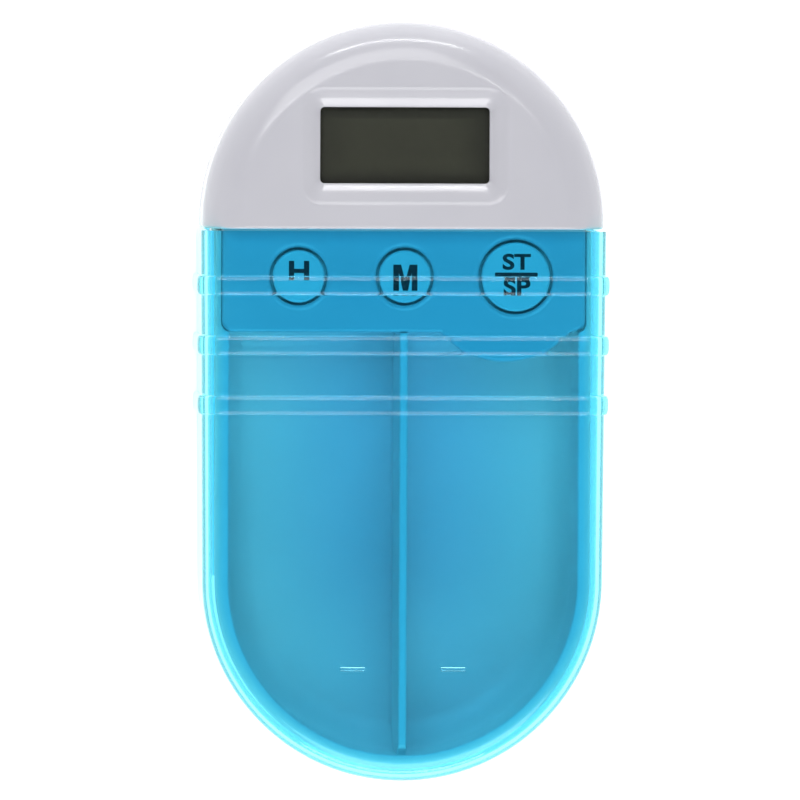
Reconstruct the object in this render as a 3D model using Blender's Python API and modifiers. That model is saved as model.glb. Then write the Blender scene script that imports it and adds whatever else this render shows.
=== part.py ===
"""A pill box with a timer: a white case with a digital display, a key panel and two pill compartments,
under a clear blue cover that slides off along the length.

The model lies on its back. +X is to the right as the front is read, +Y runs from the pills to the display,
and +Z is out of the front. The origin is under the middle of the object, on the surface that it lies on.
All sizes are in metres.
"""

from math import acos, asin, cos, pi, radians, sin

import bmesh
import bpy
from mathutils import Matrix

# The whole object
OVERALL_LENGTH = 0.110
THICKNESS = 0.0200
HEAD_RADIUS = 0.0292
PLAY = 0.0003
OVERRUN = 0.002
BITE = 0.0005
MERGE = 0.000001
HALF_TURN_STEPS = 24
SMALL_STEPS = 14
FINE_STEPS = 36
ROUNDING_STEPS = 3

# The white head
HEAD_STRAIGHT = 0.0007
HEAD_WALL = 0.0018
HEAD_FRONT_ROUND = 0.0060
HEAD_BACK_ROUND = 0.0040
PARTING_HEIGHT = 0.0090

# The clear cover
COVER_END_RADIUS = 0.02905
COVER_MOUTH_HALF_WIDTH = 0.0294
COVER_SIDE_WALL = 0.0010
COVER_FRONT_WALL = 0.0012
COVER_DROP = 0.0007
COVER_FOOT = 0.0008
COVER_EDGE_ROUND = 0.0030
COVER_LIP_THICKNESS = 0.0010
RIB_WIDTH = 0.0028
RIB_HEIGHT = 0.0006
RIB_PITCH = 0.00865
RIB_COUNT = 3
FIRST_RIB_FROM_MOUTH = 0.0079
RIB_ROUND = 0.00045
STOP_BAR_LENGTH = 0.0034
STOP_BAR_WIDTH = 0.00045
STOP_BAR_HEIGHT = 0.0003
STOP_BAR_X = 0.0073
STOP_BAR_FROM_END = 0.01635
NOTCH_WIDTH = 0.0110
NOTCH_HEIGHT = 0.0060

# The tray with its two compartments
TRAY_HALF_WIDTH = 0.0272
TRAY_WALL = 0.0019
TRAY_FLOOR = 0.0022
TRAY_RIM_GAP = 0.0005
TRAY_BACK_ROUND = 0.0008
POCKET_ROUND = 0.0045
DIVIDER_WIDTH = 0.0012
DIVIDER_DROP = 0.0003
BULKHEAD_WALL = 0.0016
GUIDE_RIB_PROUD = 0.00055
GUIDE_RIB_HEIGHT = 0.0010
END_NUB_WIDTH = 0.0070
END_NUB_PROUD = 0.0009
END_NUB_HEIGHT = 0.0030
END_NUB_FROM_FOOT = 0.0017

# The key panel, with the round boss over the coin cell
PANEL_LENGTH = 0.0150
PANEL_THICKNESS = 0.0016
PANEL_DROP = 0.0009
PANEL_RIM = 0.0007
BOSS_RADIUS = 0.0125
BOSS_X = 0.0147
BOSS_FROM_FACE = 0.0067

# The keys and the rubber domes under them
KEYS_FROM_FACE = 0.0069
SMALL_KEY_HOLE_RADIUS = 0.0042
LARGE_KEY_HOLE_RADIUS = 0.0054
KEY_GAP = 0.0004
KEY_PROUD = 0.0003
KEY_EDGE_ROUND = 0.0003
KEY_FLANGE_LAP = 0.0009
KEY_FLANGE_THICKNESS = 0.0010
KEY_STEM_RADIUS = 0.0020
KEY_DISH_WIDTH = 0.0009
KEY_DISH_DEPTH = 0.0003
HOUR_KEY_X = -0.0153
MINUTE_KEY_X = 0.0001
START_STOP_KEY_X = 0.0162
DOME_HEIGHT = 0.0025
DOME_BASE_RADIUS = 0.0042
DOME_BASE_THICKNESS = 0.0006
DOME_TOP_RADIUS = 0.0021
DOME_SKIN = 0.0005
DOME_TOP_THICKNESS = 0.0009

# The display
DISPLAY_FROM_FACE = 0.0121
VIEW_WIDTH = 0.0245
VIEW_HEIGHT = 0.0110
RECESS_WIDTH = 0.0304
RECESS_HEIGHT = 0.0173
RECESS_DEPTH = 0.0015
RECESS_CORNER = 0.0025
VIEW_CORNER = 0.0006
WINDOW_LAP = 0.0015
WINDOW_THICKNESS = 0.0007
WINDOW_LEDGE = 0.0006
WINDOW_PAD_WIDTH = 0.0310
WINDOW_PAD_HEIGHT = 0.0176
WINDOW_PAD_THICKNESS = 0.0012
GLASS_WIDTH = 0.0270
GLASS_HEIGHT = 0.0140
GLASS_THICKNESS = 0.0016
FRAME_WALL = 0.0014
FRAME_LEDGE = 0.0014
STRIP_WIDTH = 0.0018
STRIP_FROM_GLASS_EDGE = 0.0010
FRAME_BAR = 0.0010

# The circuit board and what is on it
BOARD_THICKNESS = 0.0012
BOARD_BACK_HEIGHT = 0.0080
BOARD_SIDE_GAP = 0.0008
BOARD_SHOULDER_FROM_FACE = 0.0084
BOARD_TOP_FROM_DISPLAY = 0.0100
BOARD_NECK_HALF_WIDTH = 0.0158
CHIP_RADIUS = 0.0040
CHIP_HEIGHT = 0.0012
CHIP_X = -0.0125
CHIP_FROM_FACE = 0.0015
CRYSTAL_RADIUS = 0.0010
CRYSTAL_LENGTH = 0.0060
CRYSTAL_X = -0.0030
CRYSTAL_FROM_FACE = 0.0005

# The coin cell, its contacts and the battery door
CELL_RADIUS = 0.0100
CELL_HEIGHT = 0.0032
CELL_STEP = 0.0010
CELL_STEP_HEIGHT = 0.0004
CELL_WELL_WALL = 0.0016
CELL_WELL_HEIGHT = 0.0064
DOOR_HEIGHT = 0.0015
DOOR_SINK = 0.0002
DOOR_LAP = 0.0009
DOOR_LUG_PROUD = 0.0007
DOOR_LUG_HEIGHT = 0.0007
DOOR_LUG_HALF_ANGLE = radians(12)
DOOR_TURN = radians(35)
DOOR_SPARE_ANGLE = radians(3)
DOOR_LUG_ANGLES = (radians(90), radians(270))
COIN_SLOT_LENGTH = 0.0120
COIN_SLOT_WIDTH = 0.0018
COIN_SLOT_DEPTH = 0.0008
DOOR_SHELF = 0.0014
CONTACT_THICKNESS = 0.0004
CONTACT_WIDTH = 0.0036
CONTACT_TAIL = 0.0045
LEAF_LENGTH = 0.0085
LEAF_FOOT = 0.0030
CONTACT_SLOT_GAP = 0.0004

# The buzzer and its two leads
BUZZER_FROM_FACE = 0.0150
BUZZER_RADIUS = 0.0100
BUZZER_PLATE = 0.0004
BUZZER_CERAMIC_RADIUS = 0.0066
BUZZER_CERAMIC = 0.0003
BUZZER_RING_WIDTH = 0.0010
BUZZER_SEAT_WIDTH = 0.0011
BUZZER_SEAT_HEIGHT = 0.0009
SOUND_HOLE_RADIUS = 0.0007
SOUND_HOLE_CIRCLE = 0.0040
SOUND_HOLES_ROUND = 4
LEAD_RADIUS = 0.0004
RED_LEAD_SHARES = ((0.30, 0.10), (0.42, 0.16), (0.62, 0.26), (0.70, 0.40))
BLACK_LEAD_SHARES = ((-0.80, 0.10), (-0.86, 0.20), (-0.76, 0.34), (-0.64, 0.46))
LEAD_RISE_SHARES = (0.0, 0.42, 0.70, 1.0)

# The screws
CASE_SCREW_X = 0.0190
CASE_SCREW_FROM_FACE = 0.0150
KEY_SCREW_X = -0.0077
KEY_SCREW_FROM_FACE = 0.0104
CASE_SCREW_HEAD_RADIUS = 0.0021
CASE_SCREW_HEAD_HEIGHT = 0.0015
CASE_SCREW_SHANK_RADIUS = 0.0011
CASE_SCREW_LENGTH = 0.0110
CASE_SCREW_SINK = 0.0009
CASE_BOSS_RADIUS = 0.0025
CASE_PILLAR_WALL = 0.0010
CASE_PILLAR_HEIGHT = 0.0060
BOARD_SCREW_X = 0.0198
BOARD_SCREW_FROM_FACE = 0.0047
BOARD_SCREW_HEAD_RADIUS = 0.0018
BOARD_SCREW_HEAD_HEIGHT = 0.0011
BOARD_SCREW_SHANK_RADIUS = 0.0009
BOARD_SCREW_LENGTH = 0.0062
BOARD_BOSS_RADIUS = 0.0022
DRIVE_SLOT_WIDTH = 0.0005
DRIVE_SLOT_DEPTH = 0.0006

# Places worked out from the sizes above
HEAD_Y = OVERALL_LENGTH / 2 - HEAD_RADIUS
FACE_Y = HEAD_Y - HEAD_STRAIGHT
INNER_FACE_Y = FACE_Y + HEAD_WALL
COVER_END_Y = COVER_END_RADIUS - OVERALL_LENGTH / 2
MOUTH_Y = FACE_Y - PLAY
COVER_FRONT = THICKNESS - COVER_DROP
COVER_UNDERSIDE = COVER_FRONT - COVER_FRONT_WALL
RIM_HEIGHT = COVER_UNDERSIDE - TRAY_RIM_GAP
POCKET_HALF_WIDTH = TRAY_HALF_WIDTH - TRAY_WALL
PANEL_FRONT = COVER_UNDERSIDE - PANEL_DROP
PANEL_BACK = PANEL_FRONT - PANEL_THICKNESS
PANEL_EDGE_Y = FACE_Y - PANEL_LENGTH
PANEL_HALF_WIDTH = TRAY_HALF_WIDTH - PANEL_RIM - PLAY
LEDGE_HEIGHT = PANEL_BACK - PLAY
BOSS_Y = FACE_Y - BOSS_FROM_FACE
WELL_RADIUS = BOSS_RADIUS - BITE / 5
BULKHEAD_Y = PANEL_EDGE_Y + PLAY / 3
ROOM_Y = BULKHEAD_Y + BULKHEAD_WALL
KEYS_Y = FACE_Y - KEYS_FROM_FACE
DISPLAY_Y = FACE_Y + DISPLAY_FROM_FACE
BOARD_FRONT = BOARD_BACK_HEIGHT + BOARD_THICKNESS
HEAD_CEILING = THICKNESS - HEAD_WALL
WINDOW_PAD_BACK = HEAD_CEILING - WINDOW_PAD_THICKNESS
WINDOW_FRONT = THICKNESS - RECESS_DEPTH - WINDOW_LEDGE - PLAY
WINDOW_BACK = WINDOW_FRONT - WINDOW_THICKNESS
GLASS_FRONT = min(WINDOW_BACK, WINDOW_PAD_BACK) - PLAY
GLASS_BACK = GLASS_FRONT - GLASS_THICKNESS
FRAME_FRONT = WINDOW_PAD_BACK - PLAY
FRAME_BACK = BOARD_FRONT + PLAY
DOME_TOP = BOARD_FRONT + PLAY + DOME_HEIGHT
DOOR_FRONT = DOOR_SINK + DOOR_HEIGHT
CELL_BACK = DOOR_FRONT + PLAY
CELL_FRONT = CELL_BACK + CELL_HEIGHT
DOOR_RADIUS = CELL_RADIUS + DOOR_LAP
BUZZER_Y = FACE_Y + BUZZER_FROM_FACE
BUZZER_BACK = TRAY_FLOOR + BUZZER_SEAT_HEIGHT + PLAY
CASE_SCREWS = (
    (-CASE_SCREW_X, FACE_Y + CASE_SCREW_FROM_FACE),
    (CASE_SCREW_X, FACE_Y + CASE_SCREW_FROM_FACE),
    (KEY_SCREW_X, FACE_Y - KEY_SCREW_FROM_FACE),
)
BOARD_SCREWS = (
    (-BOARD_SCREW_X, FACE_Y + BOARD_SCREW_FROM_FACE),
    (BOARD_SCREW_X, FACE_Y + BOARD_SCREW_FROM_FACE),
)
KEYS = {
    "hour": (HOUR_KEY_X, SMALL_KEY_HOLE_RADIUS),
    "minute": (MINUTE_KEY_X, SMALL_KEY_HOLE_RADIUS),
    "start_stop": (START_STOP_KEY_X, LARGE_KEY_HOLE_RADIUS),
}


# Setting up the file
def empty_scene():
    for old in list(bpy.data.objects):
        bpy.data.objects.remove(old, do_unlink=True)


def new_collection(name):
    made = bpy.data.collections.new(name)
    bpy.context.scene.collection.children.link(made)
    return made


empty_scene()
PARTS = new_collection("Pill box with timer")
CUTTERS = new_collection("Cutters")


def plastic(name, colour, roughness, metallic=0.0):
    made = bpy.data.materials.new(name)
    made.use_nodes = True
    shader = made.node_tree.nodes["Principled BSDF"]
    shader.inputs["Base Color"].default_value = (*colour, 1.0)
    shader.inputs["Roughness"].default_value = roughness
    shader.inputs["Metallic"].default_value = metallic
    return made


WHITE_ABS = plastic("White ABS", (0.80, 0.80, 0.83), 0.25)
CLEAR_BLUE = plastic("Clear blue plastic", (0.02, 0.42, 0.68), 0.08)
CLEAR_BLUE.node_tree.nodes["Principled BSDF"].inputs["Transmission Weight"].default_value = 0.9
CLEAR_WINDOW = plastic("Clear window", (0.85, 0.87, 0.85), 0.05)
CLEAR_WINDOW.node_tree.nodes["Principled BSDF"].inputs["Transmission Weight"].default_value = 0.9
DISPLAY_GREY = plastic("Display glass", (0.045, 0.045, 0.034), 0.18)
BLACK_PLASTIC = plastic("Black plastic", (0.03, 0.03, 0.03), 0.5)
KEY_WHITE = plastic("Key plastic", (0.82, 0.82, 0.84), 0.35)
SILICONE = plastic("Silicone rubber", (0.30, 0.31, 0.33), 0.7)
ZEBRA_RUBBER = plastic("Striped rubber", (0.12, 0.12, 0.13), 0.6)
BOARD_GREEN = plastic("Board green", (0.03, 0.16, 0.06), 0.45)
CHIP_RESIN = plastic("Chip resin", (0.01, 0.01, 0.01), 0.3)
STEEL = plastic("Bright steel", (0.62, 0.62, 0.60), 0.25, 1.0)
BRASS = plastic("Buzzer brass", (0.75, 0.55, 0.25), 0.3, 1.0)
RED_SLEEVE = plastic("Red lead", (0.55, 0.02, 0.02), 0.45)
BLACK_SLEEVE = plastic("Black lead", (0.02, 0.02, 0.02), 0.45)


# Ways to make a shape
def place(name, mesh, material=None):
    """Puts a mesh in the scene: as a part if it has a material, and as a cutter if not."""
    made = bpy.data.objects.new(name, mesh)
    if material is None:
        CUTTERS.objects.link(made)
        made.hide_render = True
        made.display_type = "WIRE"
    else:
        PARTS.objects.link(made)
        mesh.materials.append(material)
    return made


def box(name, low, high, material=None):
    mesh = bpy.data.meshes.new(name)
    shape = bmesh.new()
    size = [h - l for l, h in zip(low, high)]
    middle = [(l + h) / 2 for l, h in zip(low, high)]
    bmesh.ops.create_cube(shape, size=1, matrix=Matrix.Translation(middle) @ Matrix.Diagonal((*size, 1)))
    shape.to_mesh(mesh)
    shape.free()
    return place(name, mesh, material)


def drum(name, centre, radius, bottom, top, steps=SMALL_STEPS, material=None, top_radius=None):
    """A cylinder, or a cone where its top has a radius of its own, standing at a point of the plan."""
    mesh = bpy.data.meshes.new(name)
    shape = bmesh.new()
    upper = radius if top_radius is None else top_radius
    standing = Matrix.Translation((0, 0, (bottom + top) / 2))
    bmesh.ops.create_cone(
        shape,
        cap_ends=True,
        segments=steps,
        radius1=radius,
        radius2=upper,
        depth=top - bottom,
        matrix=standing,
    )
    shape.to_mesh(mesh)
    shape.free()
    mesh.shade_smooth()
    mesh.set_sharp_from_angle(angle=radians(35))
    made = place(name, mesh, material)
    made.location = (*centre, 0)
    return made


def turned(name, centre, profile, steps=FINE_STEPS, material=None, closed=False):
    """A turned shape. The profile is (radius, height) from the top, down the outer side."""
    mesh = bpy.data.meshes.new(name)
    edges = [(i, i + 1) for i in range(len(profile) - 1)]
    if closed:
        edges.append((len(profile) - 1, 0))
    mesh.from_pydata([(radius, 0, height) for radius, height in profile], edges, [])
    made = place(name, mesh, material)
    made.location = (*centre, 0)
    screw = made.modifiers.new("Turn", "SCREW")
    screw.steps = steps
    screw.render_steps = steps
    screw.use_merge_vertices = True
    screw.merge_threshold = MERGE
    return made


def mesh_of_curve(drawn, name, material):
    """Turns a curve object into a mesh object with welded caps, and removes the curve."""
    bpy.context.scene.collection.objects.link(drawn)
    evaluated = drawn.evaluated_get(bpy.context.evaluated_depsgraph_get())
    mesh = bpy.data.meshes.new_from_object(evaluated)
    mesh.materials.clear()
    shape = bmesh.new()
    shape.from_mesh(mesh)
    bmesh.ops.remove_doubles(shape, verts=shape.verts, dist=MERGE)
    bmesh.ops.dissolve_limit(shape, angle_limit=radians(0.5), verts=shape.verts, edges=shape.edges)
    bmesh.ops.recalc_face_normals(shape, faces=shape.faces)
    shape.to_mesh(mesh)
    shape.free()
    where = drawn.matrix_world.copy()
    bpy.data.objects.remove(drawn, do_unlink=True)
    made = place(name, mesh, material)
    made.matrix_world = where
    return made


def slab(name, outline, bottom, top, material=None, standing=False):
    """A flat outline raised from bottom to top. A standing one is drawn in X and Z and raised along -Y."""
    curve = bpy.data.curves.new(name, "CURVE")
    curve.dimensions = "2D"
    curve.fill_mode = "BOTH"
    curve.extrude = (top - bottom) / 2
    spline = curve.splines.new("POLY")
    spline.points.add(len(outline) - 1)
    for point, (across, along) in zip(spline.points, outline):
        point.co = (across, along, 0, 1)
    spline.use_cyclic_u = True
    drawn = bpy.data.objects.new(name, curve)
    middle = (bottom + top) / 2
    drawn.location = (0, middle, 0) if standing else (0, 0, middle)
    drawn.rotation_euler = (pi / 2, 0, 0) if standing else (0, 0, 0)
    bpy.context.view_layer.update()
    return mesh_of_curve(drawn, name, material)


def round_edges(shaped, amount, chosen, steps=ROUNDING_STEPS):
    """Bevels the sharp edges for which chosen(a, b) is true of the two ends."""
    mesh = shaped.data
    weights = mesh.attributes.new("bevel_weight_edge", "FLOAT", "EDGE")
    for edge in mesh.edges:
        a, b = (mesh.vertices[i].co for i in edge.vertices)
        weights.data[edge.index].value = 1.0 if chosen(a, b) else 0.0
    bevel = shaped.modifiers.new("Round edges", "BEVEL")
    bevel.limit_method = "WEIGHT"
    bevel.width = amount
    bevel.segments = steps
    bevel.use_clamp_overlap = False


def level(height):
    """Chooses the edges that lie at one height of a mesh."""
    return lambda a, b: abs(a.z - height) < MERGE * 10 and abs(b.z - height) < MERGE * 10


def combine(shaped, tool, operation):
    step = shaped.modifiers.new(tool.name, "BOOLEAN")
    step.operation = operation
    step.object = tool
    step.solver = "EXACT"


def cut(shaped, tool):
    combine(shaped, tool, "DIFFERENCE")


def join(shaped, tool):
    combine(shaped, tool, "UNION")


# Outlines
def arc(centre_x, centre_y, radius, start, end, steps):
    """Points on an arc, both ends included."""
    turn = (end - start) / steps
    return [
        (centre_x + radius * cos(start + turn * i), centre_y + radius * sin(start + turn * i))
        for i in range(steps + 1)
    ]


def tongue(radius, centre_y, upper_y, upper_half_width):
    """A half round far end with sides that run up to a straight edge."""
    around = arc(0, centre_y, radius, pi, 2 * pi, HALF_TURN_STEPS)
    return around + [(upper_half_width, upper_y), (-upper_half_width, upper_y)]


def rounded_rectangle(width, height, corner, centre_x=0, centre_y=0, steps=4):
    points = []
    for quarter, (side_x, side_y) in enumerate(((1, 1), (-1, 1), (-1, -1), (1, -1))):
        x = centre_x + side_x * (width / 2 - corner)
        y = centre_y + side_y * (height / 2 - corner)
        points += arc(x, y, corner, quarter * pi / 2, (quarter + 1) * pi / 2, steps)
    return points


def round_profile(radius, low, high, rounding, at_top):
    """A disc's profile with its top or bottom outer edge rounded."""
    if at_top:
        bend = arc(radius - rounding, high - rounding, rounding, pi / 2, 0, ROUNDING_STEPS + 2)
        return [(0, high)] + bend + [(radius, low), (0, low)]
    bend = arc(radius - rounding, low + rounding, rounding, 0, -pi / 2, ROUNDING_STEPS + 2)
    return [(0, high), (radius, high)] + bend + [(0, low)]


# The front case: head shell, key panel and cell boss
def make_front_case():
    head = turned(
        "front_case",
        (0, HEAD_Y),
        round_profile(HEAD_RADIUS, PARTING_HEIGHT + PLAY, THICKNESS, HEAD_FRONT_ROUND, True),
        steps=2 * HALF_TURN_STEPS,
        material=WHITE_ABS,
    )
    wide = HEAD_RADIUS + OVERRUN
    below = box(
        "below_head_face",
        (-wide, HEAD_Y - HEAD_RADIUS - OVERRUN, 0),
        (wide, FACE_Y, THICKNESS + OVERRUN),
    )
    cut(head, below)
    hollow = turned(
        "head_hollow",
        (0, HEAD_Y),
        round_profile(
            HEAD_RADIUS - HEAD_WALL, 0, HEAD_CEILING, HEAD_FRONT_ROUND - HEAD_WALL, True
        ),
        steps=2 * HALF_TURN_STEPS,
    )
    portal = box(
        "portal_wall",
        (-wide, HEAD_Y - HEAD_RADIUS - OVERRUN, -OVERRUN),
        (wide, INNER_FACE_Y, THICKNESS + OVERRUN),
    )
    cut(hollow, portal)
    cut(head, hollow)
    join(head, slab("key_panel", panel_outline(), PANEL_BACK, PANEL_FRONT))
    doorway = box(
        "portal_opening",
        (-POCKET_HALF_WIDTH + PLAY, FACE_Y - OVERRUN, 0),
        (POCKET_HALF_WIDTH - PLAY, INNER_FACE_Y + OVERRUN, PANEL_BACK),
    )
    cut(head, doorway)
    add_display_recess(head)
    add_front_bosses(head)
    for name, (x, radius) in KEYS.items():
        cut(head, key_hole(name, x, radius))
    return head


def panel_outline():
    """A plate whose lower edge swells into the round boss over the coin cell, up to the right side."""
    start = -pi - asin((PANEL_EDGE_Y - BOSS_Y) / BOSS_RADIUS)
    end = -acos(min(1, (PANEL_HALF_WIDTH - BOSS_X) / BOSS_RADIUS))
    swell = arc(BOSS_X, BOSS_Y, BOSS_RADIUS, start, end, HALF_TURN_STEPS * 2 // 3)
    upper = FACE_Y + HEAD_WALL / 2
    left = [(-PANEL_HALF_WIDTH, upper), (-PANEL_HALF_WIDTH, PANEL_EDGE_Y)]
    return left + swell + [(PANEL_HALF_WIDTH, upper)]


def key_hole(name, x, radius):
    """A through hole with a shallow dish round its front edge."""
    dish_floor = PANEL_FRONT - KEY_DISH_DEPTH
    profile = [
        (0, PANEL_FRONT + OVERRUN),
        (radius + KEY_DISH_WIDTH, PANEL_FRONT + OVERRUN),
        (radius + KEY_DISH_WIDTH, PANEL_FRONT),
        (radius, dish_floor),
        (radius, PANEL_BACK - OVERRUN),
        (0, PANEL_BACK - OVERRUN),
    ]
    return turned(name + "_hole", (x, KEYS_Y), profile)


def add_display_recess(head):
    """The sloped recess, the view through it and the pocket that the window plate is glued in."""
    pad = box(
        "window_pad",
        (-WINDOW_PAD_WIDTH / 2, DISPLAY_Y - WINDOW_PAD_HEIGHT / 2, WINDOW_PAD_BACK),
        (WINDOW_PAD_WIDTH / 2, DISPLAY_Y + WINDOW_PAD_HEIGHT / 2, HEAD_CEILING + BITE),
    )
    join(head, pad)
    cut(head, recess_cutter())
    view = slab(
        "display_view",
        rounded_rectangle(VIEW_WIDTH, VIEW_HEIGHT, VIEW_CORNER, 0, DISPLAY_Y),
        WINDOW_PAD_BACK - OVERRUN,
        THICKNESS,
    )
    cut(head, view)
    pocket_width = VIEW_WIDTH + 2 * WINDOW_LAP + 2 * PLAY
    pocket_height = VIEW_HEIGHT + 2 * WINDOW_LAP + 2 * PLAY
    pocket = box(
        "window_pocket",
        (-pocket_width / 2, DISPLAY_Y - pocket_height / 2, WINDOW_PAD_BACK - OVERRUN),
        (pocket_width / 2, DISPLAY_Y + pocket_height / 2, WINDOW_FRONT + PLAY),
    )
    cut(head, pocket)


def recess_cutter():
    """The recess narrows from its rim to the view, so it is lofted between two rounded rectangles."""
    rise = OVERRUN / RECESS_DEPTH
    rim_width = RECESS_WIDTH + (RECESS_WIDTH - VIEW_WIDTH) * rise
    rim_height = RECESS_HEIGHT + (RECESS_HEIGHT - VIEW_HEIGHT) * rise
    floor = rounded_rectangle(VIEW_WIDTH, VIEW_HEIGHT, VIEW_CORNER, 0, DISPLAY_Y)
    rim = rounded_rectangle(rim_width, rim_height, RECESS_CORNER * (1 + rise), 0, DISPLAY_Y)
    shape = bmesh.new()
    lower = [shape.verts.new((x, y, THICKNESS - RECESS_DEPTH)) for x, y in floor]
    upper = [shape.verts.new((x, y, THICKNESS + OVERRUN)) for x, y in rim]
    shape.faces.new(list(reversed(lower)))
    shape.faces.new(upper)
    for i in range(len(lower)):
        j = (i + 1) % len(lower)
        shape.faces.new((lower[i], lower[j], upper[j], upper[i]))
    mesh = bpy.data.meshes.new("display_recess")
    shape.to_mesh(mesh)
    shape.free()
    return place("display_recess", mesh)


def add_front_bosses(head):
    """The bosses that the case screws and the board screws bite into."""
    for number, (x, y) in enumerate(CASE_SCREWS, 1):
        roof = PANEL_BACK if y < FACE_Y else HEAD_CEILING
        low = CASE_PILLAR_HEIGHT + PLAY
        tall = drum(f"case_boss_{number}", (x, y), CASE_BOSS_RADIUS, low, roof + BITE)
        join(head, tall)
        reach = CASE_SCREW_SINK + CASE_SCREW_HEAD_HEIGHT + CASE_SCREW_LENGTH + PLAY
        bore = drum(
            f"case_bore_{number}", (x, y), CASE_SCREW_SHANK_RADIUS + PLAY, low - OVERRUN, reach
        )
        cut(head, bore)
    for number, (x, y) in enumerate(BOARD_SCREWS, 1):
        low = BOARD_FRONT + PLAY
        short = drum(f"board_boss_{number}", (x, y), BOARD_BOSS_RADIUS, low, HEAD_CEILING + BITE)
        join(head, short)
        reach = BOARD_BACK_HEIGHT - PLAY + BOARD_SCREW_LENGTH + PLAY
        bore = drum(
            f"board_bore_{number}", (x, y), BOARD_SCREW_SHANK_RADIUS + PLAY, low - OVERRUN, reach
        )
        cut(head, bore)


# The rear case: tray, compartments and the back of the head
def make_rear_case():
    tray = slab(
        "rear_case",
        tongue(TRAY_HALF_WIDTH, COVER_END_Y, MOUTH_Y, TRAY_HALF_WIDTH),
        0,
        RIM_HEIGHT,
        material=WHITE_ABS,
    )
    back_edge = -RIM_HEIGHT / 2
    round_edges(tray, TRAY_BACK_ROUND, level(back_edge), 2)
    join(tray, head_back())
    cut_compartments(tray)
    room = box(
        "key_room",
        (-POCKET_HALF_WIDTH, ROOM_Y, TRAY_FLOOR),
        (POCKET_HALF_WIDTH, INNER_FACE_Y + OVERRUN, RIM_HEIGHT + OVERRUN),
    )
    cut(tray, room)
    rebate = box(
        "panel_rebate",
        (-PANEL_HALF_WIDTH - PLAY, PANEL_EDGE_Y - PLAY, LEDGE_HEIGHT),
        (PANEL_HALF_WIDTH + PLAY, MOUTH_Y + OVERRUN, RIM_HEIGHT + OVERRUN),
    )
    cut(tray, rebate)
    add_cell_well(tray)
    add_pillars(tray)
    add_buzzer_seat(tray)
    add_guides(tray)
    return tray


def head_back():
    """The lower half of the head, hollow, with the neck that joins it to the tray."""
    shell = turned(
        "head_back",
        (0, HEAD_Y),
        round_profile(HEAD_RADIUS, 0, PARTING_HEIGHT, HEAD_BACK_ROUND, False),
        steps=2 * HALF_TURN_STEPS,
    )
    wide = HEAD_RADIUS + OVERRUN
    below = box(
        "below_head_back",
        (-wide, HEAD_Y - HEAD_RADIUS - OVERRUN, -OVERRUN),
        (wide, FACE_Y, PARTING_HEIGHT + OVERRUN),
    )
    cut(shell, below)
    neck_side = TRAY_HALF_WIDTH - TRAY_BACK_ROUND
    neck = box(
        "neck",
        (-neck_side, MOUTH_Y - HEAD_WALL, 0),
        (neck_side, INNER_FACE_Y, PARTING_HEIGHT),
    )
    join(shell, neck)
    hollow = turned(
        "head_back_hollow",
        (0, HEAD_Y),
        round_profile(
            HEAD_RADIUS - HEAD_WALL,
            TRAY_FLOOR,
            PARTING_HEIGHT + OVERRUN,
            HEAD_BACK_ROUND - HEAD_WALL,
            False,
        ),
        steps=2 * HALF_TURN_STEPS,
    )
    step_wall = box(
        "step_wall",
        (-wide, HEAD_Y - HEAD_RADIUS - OVERRUN, 0),
        (wide, INNER_FACE_Y, PARTING_HEIGHT + 2 * OVERRUN),
    )
    cut(hollow, step_wall)
    cut(shell, hollow)
    return shell


def cut_compartments(tray):
    """One pocket with a rounded floor edge, less the divider and the round wall of the cell well."""
    high = RIM_HEIGHT + OVERRUN
    pocket = slab(
        "pill_pocket",
        tongue(POCKET_HALF_WIDTH, COVER_END_Y, BULKHEAD_Y, POCKET_HALF_WIDTH),
        TRAY_FLOOR,
        high,
    )
    round_edges(pocket, POCKET_ROUND, level((TRAY_FLOOR - high) / 2))
    divider = box(
        "divider",
        (-DIVIDER_WIDTH / 2, COVER_END_Y - TRAY_HALF_WIDTH, 0),
        (DIVIDER_WIDTH / 2, BULKHEAD_Y + OVERRUN, RIM_HEIGHT - DIVIDER_DROP),
    )
    cut(pocket, divider)
    well = drum("well_wall", (BOSS_X, BOSS_Y), WELL_RADIUS, 0, LEDGE_HEIGHT, FINE_STEPS)
    cut(pocket, well)
    cut(tray, pocket)


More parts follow.
